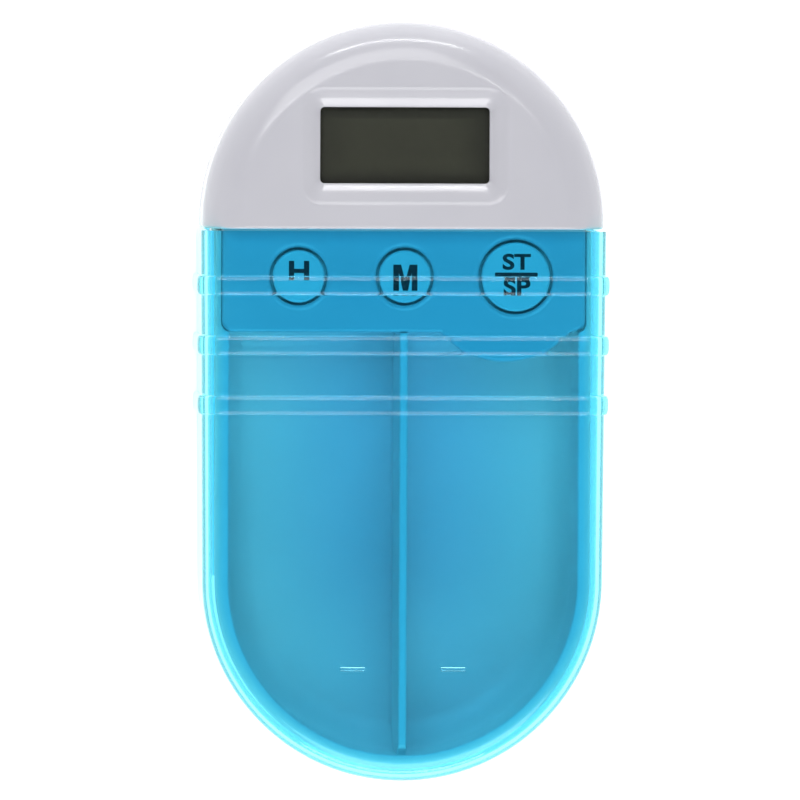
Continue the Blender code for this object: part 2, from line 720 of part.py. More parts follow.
def add_cell_well(tray):
    """The round well that the coin cell lies in, the seat of its door and the door's bayonet."""
    well = drum(
        "cell_well", (BOSS_X, BOSS_Y), WELL_RADIUS, TRAY_FLOOR / 2, CELL_WELL_HEIGHT, FINE_STEPS
    )
    join(tray, well)
    shelf_top = DOOR_FRONT + PLAY + DOOR_SHELF
    bore = drum(
        "cell_bore",
        (BOSS_X, BOSS_Y),
        WELL_RADIUS - CELL_WELL_WALL,
        shelf_top,
        RIM_HEIGHT + OVERRUN,
        FINE_STEPS,
    )
    cut(tray, bore)
    mouth = drum(
        "cell_mouth", (BOSS_X, BOSS_Y), CELL_RADIUS + PLAY, -OVERRUN, shelf_top + BITE, FINE_STEPS
    )
    cut(tray, mouth)
    seat = drum(
        "door_seat", (BOSS_X, BOSS_Y), DOOR_RADIUS + PLAY, -OVERRUN, DOOR_FRONT + PLAY, FINE_STEPS
    )
    cut(tray, seat)
    reach = DOOR_LUG_HALF_ANGLE + DOOR_SPARE_ANGLE
    outer = DOOR_RADIUS + DOOR_LUG_PROUD + PLAY
    for number, angle in enumerate(DOOR_LUG_ANGLES, 1):
        track = slab(
            f"lug_track_{number}",
            wedge(outer, angle - reach, angle + DOOR_TURN + reach),
            DOOR_FRONT - DOOR_LUG_HEIGHT - PLAY,
            DOOR_FRONT + PLAY,
        )
        cut(tray, track)
        entry = slab(
            f"lug_entry_{number}",
            wedge(outer, angle + DOOR_TURN - reach, angle + DOOR_TURN + reach),
            -OVERRUN,
            DOOR_FRONT - DOOR_LUG_HEIGHT / 2,
        )
        cut(tray, entry)
    slot_half = CONTACT_WIDTH / 2 + CONTACT_SLOT_GAP
    slot = box(
        "contact_slot",
        (BOSS_X - slot_half, BOSS_Y + CELL_RADIUS, shelf_top),
        (BOSS_X + slot_half, BOSS_Y + WELL_RADIUS + OVERRUN, CELL_WELL_HEIGHT + OVERRUN),
    )
    cut(tray, slot)


def wedge(radius, start, end):
    """A slice of the cell well, from inside the door's rim out to a radius."""
    inner = DOOR_RADIUS - DOOR_LAP / 2
    outside = arc(BOSS_X, BOSS_Y, radius, start, end, ROUNDING_STEPS * 2)
    inside = arc(BOSS_X, BOSS_Y, inner, end, start, ROUNDING_STEPS * 2)
    return outside + inside


def add_pillars(tray):
    """The hollow pillars that the case screws go up through, with their counterbores in the back."""
    for number, (x, y) in enumerate(CASE_SCREWS, 1):
        counterbore = CASE_SCREW_HEAD_RADIUS + PLAY
        pillar = drum(
            f"pillar_{number}",
            (x, y),
            counterbore + CASE_PILLAR_WALL,
            TRAY_FLOOR / 2,
            CASE_PILLAR_HEIGHT,
        )
        join(tray, pillar)
        head_top = CASE_SCREW_SINK + CASE_SCREW_HEAD_HEIGHT + PLAY
        sunk = drum(f"counterbore_{number}", (x, y), counterbore, -OVERRUN, head_top)
        cut(tray, sunk)
        hole = drum(
            f"pillar_hole_{number}",
            (x, y),
            CASE_SCREW_SHANK_RADIUS + PLAY,
            head_top - BITE,
            CASE_PILLAR_HEIGHT + OVERRUN,
        )
        cut(tray, hole)


def add_buzzer_seat(tray):
    """A stepped ring that the buzzer disc lies in, over the sound holes."""
    centre = (0, BUZZER_Y)
    rim = BUZZER_RADIUS + PLAY
    seat_height = TRAY_FLOOR + BUZZER_SEAT_HEIGHT
    ring_top = BUZZER_BACK + BUZZER_PLATE
    profile = [
        (rim, ring_top),
        (rim + BUZZER_RING_WIDTH, ring_top),
        (rim + BUZZER_RING_WIDTH, TRAY_FLOOR / 2),
        (BUZZER_RADIUS - BUZZER_SEAT_WIDTH, TRAY_FLOOR / 2),
        (BUZZER_RADIUS - BUZZER_SEAT_WIDTH, seat_height),
        (rim, seat_height),
    ]
    join(tray, turned("buzzer_seat", centre, profile, closed=True))
    places = [(0, 0)]
    for i in range(SOUND_HOLES_ROUND):
        angle = (i + 1 / 2) * 2 * pi / SOUND_HOLES_ROUND
        places.append((SOUND_HOLE_CIRCLE * cos(angle), SOUND_HOLE_CIRCLE * sin(angle)))
    for number, (x, y) in enumerate(places, 1):
        hole = drum(
            f"sound_hole_{number}",
            (x, BUZZER_Y + y),
            SOUND_HOLE_RADIUS,
            -OVERRUN,
            TRAY_FLOOR + OVERRUN / 2,
            SMALL_STEPS // 2,
        )
        cut(tray, hole)


def add_guides(tray):
    """The side ribs that the cover's lips run under, and the nub on the far end."""
    low = COVER_FOOT + COVER_LIP_THICKNESS + PLAY
    for side, name in ((-1, "left"), (1, "right")):
        inner = side * (TRAY_HALF_WIDTH - BITE)
        outer = side * (TRAY_HALF_WIDTH + GUIDE_RIB_PROUD)
        rail = box(
            f"guide_rib_{name}",
            (min(inner, outer), COVER_END_Y, low),
            (max(inner, outer), MOUTH_Y - PLAY, low + GUIDE_RIB_HEIGHT),
        )
        join(tray, rail)
    tip = COVER_END_Y - TRAY_HALF_WIDTH
    low = COVER_FOOT + END_NUB_FROM_FOOT
    nub = box(
        "end_nub",
        (-END_NUB_WIDTH / 2, tip - END_NUB_PROUD, low),
        (END_NUB_WIDTH / 2, tip + TRAY_WALL / 2, low + END_NUB_HEIGHT),
    )
    join(tray, nub)


# The sliding cover
def cover_half_width(y):
    """Half of the cover's outer width, which grows from the far end to the mouth."""
    share = (y - COVER_END_Y) / (MOUTH_Y - COVER_END_Y)
    return COVER_END_RADIUS + (COVER_MOUTH_HALF_WIDTH - COVER_END_RADIUS) * share


def make_sliding_cover():
    past = MOUTH_Y + COVER_EDGE_ROUND + OVERRUN
    cover = slab(
        "sliding_cover",
        tongue(COVER_END_RADIUS, COVER_END_Y, past, cover_half_width(past)),
        COVER_FOOT,
        COVER_FRONT,
        material=CLEAR_BLUE,
    )
    round_edges(cover, COVER_EDGE_ROUND, level((COVER_FRONT - COVER_FOOT) / 2))
    beyond = box(
        "beyond_mouth",
        (-COVER_MOUTH_HALF_WIDTH - OVERRUN, MOUTH_Y, -OVERRUN),
        (COVER_MOUTH_HALF_WIDTH + OVERRUN, past + OVERRUN, THICKNESS + OVERRUN),
    )
    cut(cover, beyond)
    for number in range(RIB_COUNT):
        join(cover, grip_rib(number))
    hollow = slab(
        "cover_hollow",
        tongue(
            COVER_END_RADIUS - COVER_SIDE_WALL,
            COVER_END_Y,
            past,
            cover_half_width(past) - COVER_SIDE_WALL,
        ),
        -OVERRUN,
        COVER_UNDERSIDE,
    )
    round_edges(
        hollow, COVER_EDGE_ROUND - COVER_SIDE_WALL, level((COVER_UNDERSIDE + OVERRUN) / 2)
    )
    cut(cover, hollow)
    for side, name in ((-1, "left"), (1, "right")):
        join(cover, cover_lip(side, name))
        join(cover, stop_bar(side, name))
    notch = box(
        "end_notch",
        (-NOTCH_WIDTH / 2, -OVERALL_LENGTH / 2 - OVERRUN, COVER_FOOT - OVERRUN),
        (NOTCH_WIDTH / 2, COVER_END_Y - COVER_END_RADIUS / 2, COVER_FOOT + NOTCH_HEIGHT),
    )
    cut(cover, notch)
    return cover


def grip_rib(number):
    """A raised band that wraps the cover's front and both sides."""
    y = MOUTH_Y - FIRST_RIB_FROM_MOUTH - number * RIB_PITCH
    half = cover_half_width(y) + RIB_HEIGHT
    high = COVER_FRONT + RIB_HEIGHT
    bend = COVER_EDGE_ROUND + RIB_HEIGHT
    right = arc(half - bend, high - bend, bend, 0, pi / 2, ROUNDING_STEPS + 1)
    left = arc(-half + bend, high - bend, bend, pi / 2, pi, ROUNDING_STEPS + 1)
    outline = right + left + [(-half, COVER_FOOT), (half, COVER_FOOT)]
    band = slab(
        f"grip_rib_{number + 1}",
        outline,
        y - RIB_WIDTH / 2,
        y + RIB_WIDTH / 2,
        standing=True,
    )
    edge = RIB_WIDTH / 2
    lowest = COVER_FOOT + MERGE
    round_edges(
        band,
        RIB_ROUND,
        lambda a, b: abs(abs(a.z) - edge) < MERGE
        and abs(a.z - b.z) < MERGE
        and max(a.y, b.y) > lowest,
        2,
    )
    return band


def cover_lip(side, name):
    """The lip at the foot of a side wall, which runs under the tray's guide rib."""
    inner = TRAY_HALF_WIDTH + PLAY
    root = COVER_SIDE_WALL / 2
    outline = [
        (side * inner, COVER_END_Y),
        (side * (cover_half_width(COVER_END_Y) - root), COVER_END_Y),
        (side * (cover_half_width(MOUTH_Y) - root), MOUTH_Y),
        (side * inner, MOUTH_Y),
    ]
    return slab(f"cover_lip_{name}", outline, COVER_FOOT, COVER_FOOT + COVER_LIP_THICKNESS)


def stop_bar(side, name):
    """A small bar under the cover's front, near its far end."""
    y = STOP_BAR_FROM_END - OVERALL_LENGTH / 2
    x = side * STOP_BAR_X
    return box(
        f"stop_bar_{name}",
        (x - STOP_BAR_LENGTH / 2, y - STOP_BAR_WIDTH / 2, COVER_UNDERSIDE - STOP_BAR_HEIGHT),
        (x + STOP_BAR_LENGTH / 2, y + STOP_BAR_WIDTH / 2, COVER_UNDERSIDE + COVER_FRONT_WALL / 2),
    )


# The display stack
def make_display():
    width = VIEW_WIDTH + 2 * WINDOW_LAP
    height = VIEW_HEIGHT + 2 * WINDOW_LAP
    window = slab(
        "display_window",
        rounded_rectangle(width, height, VIEW_CORNER, 0, DISPLAY_Y),
        WINDOW_BACK,
        WINDOW_FRONT,
        material=CLEAR_WINDOW,
    )
    glass = box(
        "lcd_glass",
        (-GLASS_WIDTH / 2, DISPLAY_Y - GLASS_HEIGHT / 2, GLASS_BACK),
        (GLASS_WIDTH / 2, DISPLAY_Y + GLASS_HEIGHT / 2, GLASS_FRONT),
        DISPLAY_GREY,
    )
    frame = make_lcd_frame()
    strip_y = GLASS_HEIGHT / 2 - STRIP_FROM_GLASS_EDGE - STRIP_WIDTH / 2
    strip_half = GLASS_WIDTH / 2 - FRAME_LEDGE - PLAY
    for side, name in ((1, "zebra_strip_upper"), (-1, "zebra_strip_lower")):
        y = DISPLAY_Y + side * strip_y
        box(
            name,
            (-strip_half, y - STRIP_WIDTH / 2, FRAME_BACK),
            (strip_half, y + STRIP_WIDTH / 2, GLASS_BACK - PLAY),
            ZEBRA_RUBBER,
        )
    return window, glass, frame


def make_lcd_frame():
    """A frame with a ledge under the glass and a slot for each rubber strip."""
    seat_width = GLASS_WIDTH + 2 * PLAY
    seat_height = GLASS_HEIGHT + 2 * PLAY
    ledge = GLASS_BACK - PLAY
    frame = box(
        "lcd_frame",
        (-seat_width / 2 - FRAME_WALL, DISPLAY_Y - seat_height / 2 - FRAME_WALL, FRAME_BACK),
        (seat_width / 2 + FRAME_WALL, DISPLAY_Y + seat_height / 2 + FRAME_WALL, FRAME_FRONT),
        BLACK_PLASTIC,
    )
    seat = box(
        "glass_seat",
        (-seat_width / 2, DISPLAY_Y - seat_height / 2, ledge),
        (seat_width / 2, DISPLAY_Y + seat_height / 2, FRAME_FRONT + OVERRUN),
    )
    cut(frame, seat)
    half = GLASS_WIDTH / 2 - FRAME_LEDGE
    outer = GLASS_HEIGHT / 2 - STRIP_FROM_GLASS_EDGE + PLAY
    inner = outer - STRIP_WIDTH - 2 * PLAY
    middle = inner - FRAME_BAR
    for name, low, high in (
        ("upper_strip_slot", inner, outer),
        ("frame_middle", -middle, middle),
        ("lower_strip_slot", -outer, -inner),
    ):
        slot = box(
            name,
            (-half, DISPLAY_Y + low, FRAME_BACK - OVERRUN),
            (half, DISPLAY_Y + high, ledge + OVERRUN),
        )
        cut(frame, slot)
    return frame


# The circuit board and its parts
def make_board():
    wide = POCKET_HALF_WIDTH - BOARD_SIDE_GAP
    low = ROOM_Y + BOARD_SIDE_GAP
    shoulder = FACE_Y + BOARD_SHOULDER_FROM_FACE
    high = DISPLAY_Y + BOARD_TOP_FROM_DISPLAY
    neck = BOARD_NECK_HALF_WIDTH
    outline = [
        (-wide, low),
        (wide, low),
        (wide, shoulder),
        (neck, shoulder),
        (neck, high),
        (-neck, high),
        (-neck, shoulder),
        (-wide, shoulder),
    ]
    board = slab("circuit_board", outline, BOARD_BACK_HEIGHT, BOARD_FRONT, material=BOARD_GREEN)
    below = BOARD_BACK_HEIGHT - OVERRUN
    above = BOARD_FRONT + OVERRUN
    x, y = CASE_SCREWS[-1]
    cut(board, drum("board_relief", (x, y), CASE_BOSS_RADIUS + PLAY, below, above))
    for number, spot in enumerate(BOARD_SCREWS, 1):
        radius = BOARD_SCREW_SHANK_RADIUS + PLAY
        cut(board, drum(f"board_hole_{number}", spot, radius, below, above))
    chip_top = BOARD_BACK_HEIGHT - PLAY
    bulge = arc(0, 0, 1, 0, -pi / 2, ROUNDING_STEPS)
    resin = [(0, chip_top)] + [(CHIP_RADIUS * across, chip_top + CHIP_HEIGHT * drop) for across, drop in bulge]
    turned("timer_chip", (CHIP_X, FACE_Y + CHIP_FROM_FACE), resin, SMALL_STEPS, CHIP_RESIN)
    can = drum(
        "quartz_crystal", (0, 0), CRYSTAL_RADIUS, -CRYSTAL_LENGTH / 2, CRYSTAL_LENGTH / 2, material=STEEL
    )
    can.rotation_euler = (0, pi / 2, 0)
    can.location = (
        CRYSTAL_X,
        FACE_Y + CRYSTAL_FROM_FACE,
        BOARD_BACK_HEIGHT - PLAY - CRYSTAL_RADIUS,
    )


# The keys and their domes
def make_keys():
    cap_front = PANEL_FRONT + KEY_PROUD
    flange_front = PANEL_BACK - PLAY
    flange_back = flange_front - KEY_FLANGE_THICKNESS
    stem_back = DOME_TOP + PLAY
    for name, (x, hole) in KEYS.items():
        cap = hole - KEY_GAP
        bend = arc(
            cap - KEY_EDGE_ROUND, cap_front - KEY_EDGE_ROUND, KEY_EDGE_ROUND, pi / 2, 0, 2
        )
        profile = (
            [(0, cap_front)]
            + bend
            + [
                (cap, flange_front),
                (hole + KEY_FLANGE_LAP, flange_front),
                (hole + KEY_FLANGE_LAP, flange_back),
                (KEY_STEM_RADIUS, flange_back),
                (KEY_STEM_RADIUS, stem_back),
                (0, stem_back),
            ]
        )
        turned(name + "_button", (x, KEYS_Y), profile, FINE_STEPS * 2 // 3, KEY_WHITE)
        make_dome(name, x)


def make_dome(name, x):
    """A hollow rubber dome: a flat foot, a sloping skin and a thick top."""
    low = BOARD_FRONT + PLAY
    shoulder = low + DOME_BASE_THICKNESS
    skin_radius = DOME_BASE_RADIUS - KEY_FLANGE_LAP
    profile = [
        (0, DOME_TOP),
        (DOME_TOP_RADIUS, DOME_TOP),
        (DOME_TOP_RADIUS + DOME_SKIN, DOME_TOP - DOME_TOP_THICKNESS / 2),
        (skin_radius, shoulder),
        (DOME_BASE_RADIUS, shoulder),
        (DOME_BASE_RADIUS, low),
        (skin_radius - DOME_SKIN, low),
        (DOME_TOP_RADIUS, DOME_TOP - DOME_TOP_THICKNESS),
        (0, DOME_TOP - DOME_TOP_THICKNESS),
    ]
    turned(name + "_dome", (x, KEYS_Y), profile, SMALL_STEPS, SILICONE)


# The coin cell, its contacts and its door
def make_cell():
    rim = CELL_RADIUS - CELL_STEP
    profile = [
        (0, CELL_FRONT),
        (rim, CELL_FRONT),
        (rim, CELL_FRONT - CELL_STEP_HEIGHT),
        (CELL_RADIUS - CELL_STEP_HEIGHT, CELL_FRONT - CELL_STEP_HEIGHT),
        (CELL_RADIUS, CELL_FRONT - 2 * CELL_STEP_HEIGHT),
        (CELL_RADIUS, CELL_BACK + CELL_STEP_HEIGHT / 2),
        (CELL_RADIUS - CELL_STEP_HEIGHT / 2, CELL_BACK),
        (0, CELL_BACK),
    ]
    turned("coin_cell", (BOSS_X, BOSS_Y), profile, material=STEEL)
    make_positive_contact()
    make_negative_contact()


def make_positive_contact():
    """A bent strip: it stands beside the cell's rim, and its tail lies under the board."""
    top = BOARD_BACK_HEIGHT - PLAY
    near = BOSS_Y + CELL_RADIUS + PLAY
    low = DOOR_FRONT + PLAY + DOOR_SHELF + PLAY
    outline = [
        (near, low),
        (near + CONTACT_THICKNESS, low),
        (near + CONTACT_THICKNESS, top - CONTACT_THICKNESS),
        (near + CONTACT_TAIL, top - CONTACT_THICKNESS),
        (near + CONTACT_TAIL, top),
        (near, top),
    ]
    strip("positive_contact", outline)


def make_negative_contact():
    """A sprung leaf: its foot lies under the board, and its nose presses on the cell's face."""
    top = BOARD_BACK_HEIGHT - PLAY
    nose = CELL_FRONT + PLAY
    foot = BOSS_Y - LEAF_LENGTH / 2 - LEAF_FOOT
    bend = foot + LEAF_FOOT
    tip = BOSS_Y + LEAF_LENGTH / 2
    outline = [
        (foot, top),
        (foot, top - CONTACT_THICKNESS),
        (bend, top - CONTACT_THICKNESS),
        (tip - CONTACT_WIDTH, nose),
        (tip - CONTACT_WIDTH / 2, nose),
        (tip, nose + CONTACT_WIDTH / 4),
        (tip, nose + CONTACT_WIDTH / 4 + CONTACT_THICKNESS),
        (tip - CONTACT_WIDTH / 2, nose + CONTACT_THICKNESS),
        (tip - CONTACT_WIDTH, nose + CONTACT_THICKNESS),
        (bend, top),
    ]
    strip("negative_contact", outline)


def strip(name, outline):
    """A contact's outline in Y and Z, raised across X about the cell's middle."""
    made = slab(name, outline, -CONTACT_WIDTH / 2, CONTACT_WIDTH / 2, material=STEEL)
    made.matrix_world = (
        Matrix.Translation((BOSS_X, 0, 0))
        @ Matrix.Rotation(pi / 2, 4, "Z")
        @ Matrix.Rotation(pi / 2, 4, "X")
    )


def make_battery_door():
    """A flat round door with two bayonet lugs and a slot for a coin's edge."""
    door = drum(
        "battery_door",
        (BOSS_X, BOSS_Y),
        DOOR_RADIUS,
        DOOR_SINK,
        DOOR_FRONT,
        FINE_STEPS,
        material=WHITE_ABS,
    )
    for number, angle in enumerate(DOOR_LUG_ANGLES, 1):
        lug = slab(
            f"door_lug_{number}",
            wedge(
                DOOR_RADIUS + DOOR_LUG_PROUD,
                angle - DOOR_LUG_HALF_ANGLE,
                angle + DOOR_LUG_HALF_ANGLE,
            ),
            DOOR_FRONT - DOOR_LUG_HEIGHT,
            DOOR_FRONT,
        )
        join(door, lug)
    slot = box(
        "coin_slot",
        (BOSS_X - COIN_SLOT_LENGTH / 2, BOSS_Y - COIN_SLOT_WIDTH / 2, DOOR_SINK - OVERRUN),
        (BOSS_X + COIN_SLOT_LENGTH / 2, BOSS_Y + COIN_SLOT_WIDTH / 2, DOOR_SINK + COIN_SLOT_DEPTH),
    )
    cut(door, slot)


# The buzzer
def make_buzzer():
    plate_front = BUZZER_BACK + BUZZER_PLATE
    front = plate_front + BUZZER_CERAMIC
    profile = [
        (0, front),
        (BUZZER_CERAMIC_RADIUS, front),
        (BUZZER_CERAMIC_RADIUS, plate_front),
        (BUZZER_RADIUS, plate_front),
        (BUZZER_RADIUS, BUZZER_BACK),
        (0, BUZZER_BACK),
    ]
    turned("buzzer_disc", (0, BUZZER_Y), profile, material=BRASS)
    for name, shares, start, material in (
        ("buzzer_lead_red", RED_LEAD_SHARES, front, RED_SLEEVE),
        ("buzzer_lead_black", BLACK_LEAD_SHARES, plate_front, BLACK_SLEEVE),
    ):
        make_lead(name, shares, start + PLAY, material)


def make_lead(name, shares, low, material):
    """A short lead from the buzzer up to the back of the board."""
    high = BOARD_BACK_HEIGHT - PLAY
    curve = bpy.data.curves.new(name, "CURVE")
    curve.dimensions = "3D"
    curve.bevel_depth = LEAD_RADIUS
    curve.bevel_resolution = 2
    curve.use_fill_caps = True
    spline = curve.splines.new("POLY")
    points = []
    for (across, along), rise in zip(shares, LEAD_RISE_SHARES):
        x = BUZZER_RADIUS * across
        y = BUZZER_Y + BUZZER_RADIUS * along
        points.append((x, y, low + (high - low) * rise))
    first, last = points[0], points[-1]
    points.insert(1, (first[0], first[1], first[2] + LEAD_RADIUS))
    points.insert(-1, (last[0], last[1], last[2] - LEAD_RADIUS))
    spline.points.add(len(points) - 1)
    for point, where in zip(spline.points, points):
        point.co = (*where, 1)
    drawn = bpy.data.objects.new(name, curve)
    mesh_of_curve(drawn, name, material)


# The screws
def make_screw(name, spot, bearing, head, head_height, shank, length):
    """A screw with its head down: bearing is the height of the face under its head."""
    profile = [
        (0, bearing + length),
        (shank / 2, bearing + length),
        (shank, bearing + length - shank),
        (shank, bearing),
        (head, bearing),
        (head, bearing - head_height + DRIVE_SLOT_WIDTH),
        (head - DRIVE_SLOT_WIDTH, bearing - head_height),
        (0, bearing - head_height),
    ]
    screw = turned(name, spot, profile, SMALL_STEPS, STEEL)
    x, y = spot
    low = bearing - head_height
    for number, (half_x, half_y) in enumerate(
        ((head * 2 / 3, DRIVE_SLOT_WIDTH / 2), (DRIVE_SLOT_WIDTH / 2, head * 2 / 3)), 1
    ):
        slot = box(
            f"{name}_slot_{number}",
            (x - half_x, y - half_y, low - OVERRUN),
            (x + half_x, y + half_y, low + DRIVE_SLOT_DEPTH),
        )
        cut(screw, slot)


def make_screws():
    for number, spot in enumerate(CASE_SCREWS, 1):
        make_screw(
            f"case_screw_{number}",
            spot,
            CASE_SCREW_SINK + CASE_SCREW_HEAD_HEIGHT,
            CASE_SCREW_HEAD_RADIUS,
            CASE_SCREW_HEAD_HEIGHT,
            CASE_SCREW_SHANK_RADIUS,
            CASE_SCREW_LENGTH,
        )
    for number, spot in enumerate(BOARD_SCREWS, 1):
        make_screw(
            f"board_screw_{number}",
            spot,
            BOARD_BACK_HEIGHT - PLAY,
            BOARD_SCREW_HEAD_RADIUS,
            BOARD_SCREW_HEAD_HEIGHT,
            BOARD_SCREW_SHANK_RADIUS,
            BOARD_SCREW_LENGTH,
        )


make_front_case()
make_rear_case()
make_sliding_cover()
make_display()
make_board()
make_keys()
make_cell()
make_battery_door()
make_buzzer()
make_screws()
bpy.context.view_layer.update()
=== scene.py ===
# %% [markdown]
# # A pill box with a timer
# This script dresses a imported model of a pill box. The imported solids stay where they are, and
# finer pieces take the place of the ones that are seen. Every cell makes one thing and prints what
# it made. The box lies on its back: X runs to the right, Y up to the display, Z out of the front.

# %% Load the frame
from math import asin, cos, degrees, pi, radians, sin

import bmesh
import bpy
from mathutils import Matrix, Vector


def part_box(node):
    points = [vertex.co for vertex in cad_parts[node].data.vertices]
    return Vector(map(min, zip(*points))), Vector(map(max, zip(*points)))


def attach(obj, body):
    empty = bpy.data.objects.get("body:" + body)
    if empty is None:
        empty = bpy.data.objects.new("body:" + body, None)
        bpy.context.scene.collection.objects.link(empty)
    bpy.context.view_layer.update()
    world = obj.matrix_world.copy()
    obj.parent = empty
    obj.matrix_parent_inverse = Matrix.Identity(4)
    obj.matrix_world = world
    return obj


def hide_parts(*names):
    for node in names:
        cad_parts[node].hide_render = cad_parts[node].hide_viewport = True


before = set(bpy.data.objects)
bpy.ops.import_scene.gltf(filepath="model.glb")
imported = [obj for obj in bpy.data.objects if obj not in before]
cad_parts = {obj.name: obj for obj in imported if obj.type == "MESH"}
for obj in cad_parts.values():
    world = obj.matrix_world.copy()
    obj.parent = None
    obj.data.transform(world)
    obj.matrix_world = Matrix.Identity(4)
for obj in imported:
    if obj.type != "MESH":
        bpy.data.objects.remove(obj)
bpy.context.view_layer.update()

print("solids:", len(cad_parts))

# %% [markdown]
# ## Sizes
# All sizes are in millimetres here, and `MM` turns them into metres. They repeat the sizes of the
# solids, so the fine pieces sit exactly where the solids are.

# %% Name the sizes that several pieces share
MM = 0.001
HEAD_Y, HEAD_R = 25.8, 29.2
HEAD_FACE, HEAD_INNER_FACE = 25.1, 26.9
HEAD_TOP, HEAD_ROUND, BACK_ROUND = 20.0, 6.0, 4.0
WALL = 1.8
PARTING_BACK, PARTING_FRONT = 9.0, 9.3
COVER_Y, COVER_R = -25.95, 29.05
COVER_MOUTH, COVER_MOUTH_HALF = 24.8, 29.4
COVER_TOP, COVER_UNDER, COVER_WALL = 19.3, 18.1, 1.0
COVER_FOOT, COVER_ROUND = 0.8, 3.0
CASE_SMOOTH = 32
TRAY_HALF, POCKET_HALF = 27.2, 25.3
TRAY_FLOOR, TRAY_RIM = 2.2, 17.6
PANEL_BACK, PANEL_FRONT, PANEL_EDGE, PANEL_HALF = 15.6, 17.2, 10.1, 26.2
BOSS = (14.7, 18.4)
BOSS_R = 12.5
DISPLAY_Y = 37.2
KEY_Y = 18.2
KEYS = {"hour": (-15.3, 3.8, 4.2), "minute": (0.1, 3.8, 4.2), "start_stop": (16.2, 5.0, 5.4)}

# %% [markdown]
# ## Small makers
# The box is moulded: straight walls, flat faces and round edges. Such forms could be modelled by
# hand in Edit Mode. Here each one is a stack of rings, lists of points that go round once, and
# neighbouring rings are joined by quads. Every size then stays a number that can be read and
# changed.

# %% Write the mesh makers
WELD, SHORTEST = 0.002, 0.001
SAME_POINT, TINY_EDGE, SHARP = 0.0005, 0.0002, 0.8


def new_object(name, bm):
    """A mesh object from a bmesh in millimetres, with its faces turned outward."""
    bmesh.ops.remove_doubles(bm, verts=bm.verts, dist=SAME_POINT)
    bmesh.ops.recalc_face_normals(bm, faces=bm.faces)
    bmesh.ops.scale(bm, vec=(MM, MM, MM), verts=bm.verts)
    mesh = bpy.data.meshes.new(name)
    bm.to_mesh(mesh)
    bm.free()
    made = bpy.data.objects.new(name, mesh)
    bpy.context.scene.collection.objects.link(made)
    return made


def skin(bm, rows):
    """Joins neighbouring open rows of points by quads."""
    for before, after in zip(rows, rows[1:]):
        for i in range(len(before) - 1):
            bm.faces.new((before[i], before[i + 1], after[i + 1], after[i]))


def loft(name, rings, lids=True):
    """A closed form through rings of (x, y, z) points, each with the same number of points."""
    bm = bmesh.new()
    grid = [[bm.verts.new(point) for point in ring] for ring in rings]
    count = len(grid[0])
    for low, high in zip(grid, grid[1:]):
        for i in range(count):
            j = (i + 1) % count
            bm.faces.new((low[i], low[j], high[j], high[i]))
    if lids:
        bm.faces.new(list(reversed(grid[0])))
        bm.faces.new(grid[-1])
    return new_object(name, bm)


def at_height(outline, z):
    return [(x, y, z) for x, y in outline]


def across(outline, y):
    """The outline stood up in a cross-section at y."""
    return [(x, y, z) for x, z in outline]


print("rings can be joined")

# %% [markdown]
# Outlines are made of straight runs and arcs. Bezier curves would be as round, but computed points
# land exactly where two pieces meet, so a cut or a join stays clean.

# %% Draw outlines
def arc(x, y, radius, start, end, steps=8):
    """Points of an arc, both ends included; angles in degrees."""
    turns = [radians(start + (end - start) * i / steps) for i in range(steps + 1)]
    return [(x + radius * cos(t), y + radius * sin(t)) for t in turns]


def circle(radius, x=0.0, y=0.0, steps=72):
    return arc(x, y, radius, 0, 360, steps)[:-1]


def rounded_rectangle(width, height, corner, x=0.0, y=0.0, steps=8):
    """Points round a rectangle with round corners, anticlockwise."""
    points = []
    for number, (sx, sy) in enumerate(((1, 1), (-1, 1), (-1, -1), (1, -1))):
        points += arc(x + sx * (width / 2 - corner), y + sy * (height / 2 - corner), corner,
                      90 * number, 90 * number + 90, steps)
    return points


def quarter_turns(steps, first=0):
    """Angles from 0 to a quarter turn, both ends included."""
    return [pi / 2 * i / steps for i in range(first, steps + 1)]


def round_edge(size, steps, first=0):
    """(inset, drop) pairs of a round edge, from the whole drop to the whole inset."""
    return [(size * (1 - cos(t)), size * (1 - sin(t))) for t in quarter_turns(steps, first)]


print("points in a circle", len(circle(1.0)))

# %% [markdown]
# Flat forms come from an outline at two or more heights, and round ones are turned from a profile.
# A Screw modifier turns a profile too, but its points on the axis need merging afterwards. Here
# such a point is one vertex from the start.

# %% Write the solid forms
def prism(name, outline, low, high):
    return loft(name, [at_height(outline, low), at_height(outline, high)])


def block(name, low, high):
    outline = [(low[0], low[1]), (high[0], low[1]), (high[0], high[1]), (low[0], high[1])]
    return prism(name, outline, low[2], high[2])


def plate(name, width, height, corner, centre, levels):
    """A flat form with round corners, smaller by c all round at each (c, z) level."""
    return loft(name, [
        at_height(rounded_rectangle(width - 2 * c, height - 2 * c, corner, *centre), z)
        for c, z in levels
    ])


def lathe(name, centre, profile, steps=72, closed=False):
    """A form turned about a line along Z. A point on the line becomes one shared vertex."""
    bm = bmesh.new()
    rows = []
    for radius, z in profile:
        if radius == 0:
            rows.append([bm.verts.new((centre[0], centre[1], z))])
        else:
            ring = circle(radius, *centre, steps)
            rows.append([bm.verts.new((x, y, z)) for x, y in ring])
    pairs = list(zip(rows, rows[1:])) + ([(rows[-1], rows[0])] if closed else [])
    for low, high in pairs:
        for i in range(steps):
            j = (i + 1) % steps
            corners = [low[i % len(low)], low[j % len(low)]]
            corners = list(dict.fromkeys(corners + [high[j % len(high)], high[i % len(high)]]))
            if len(corners) > 2:
                bm.faces.new(corners)
    return new_object(name, bm)


print("flat and turned forms can be made")

# %% [markdown]
# Holes, pockets and bosses are cut and joined with exact Booleans. A live modifier would be easier
# to change, but every result here is made a plain mesh at once and its shortest edges are merged,
# so the next cut starts from a closed surface.

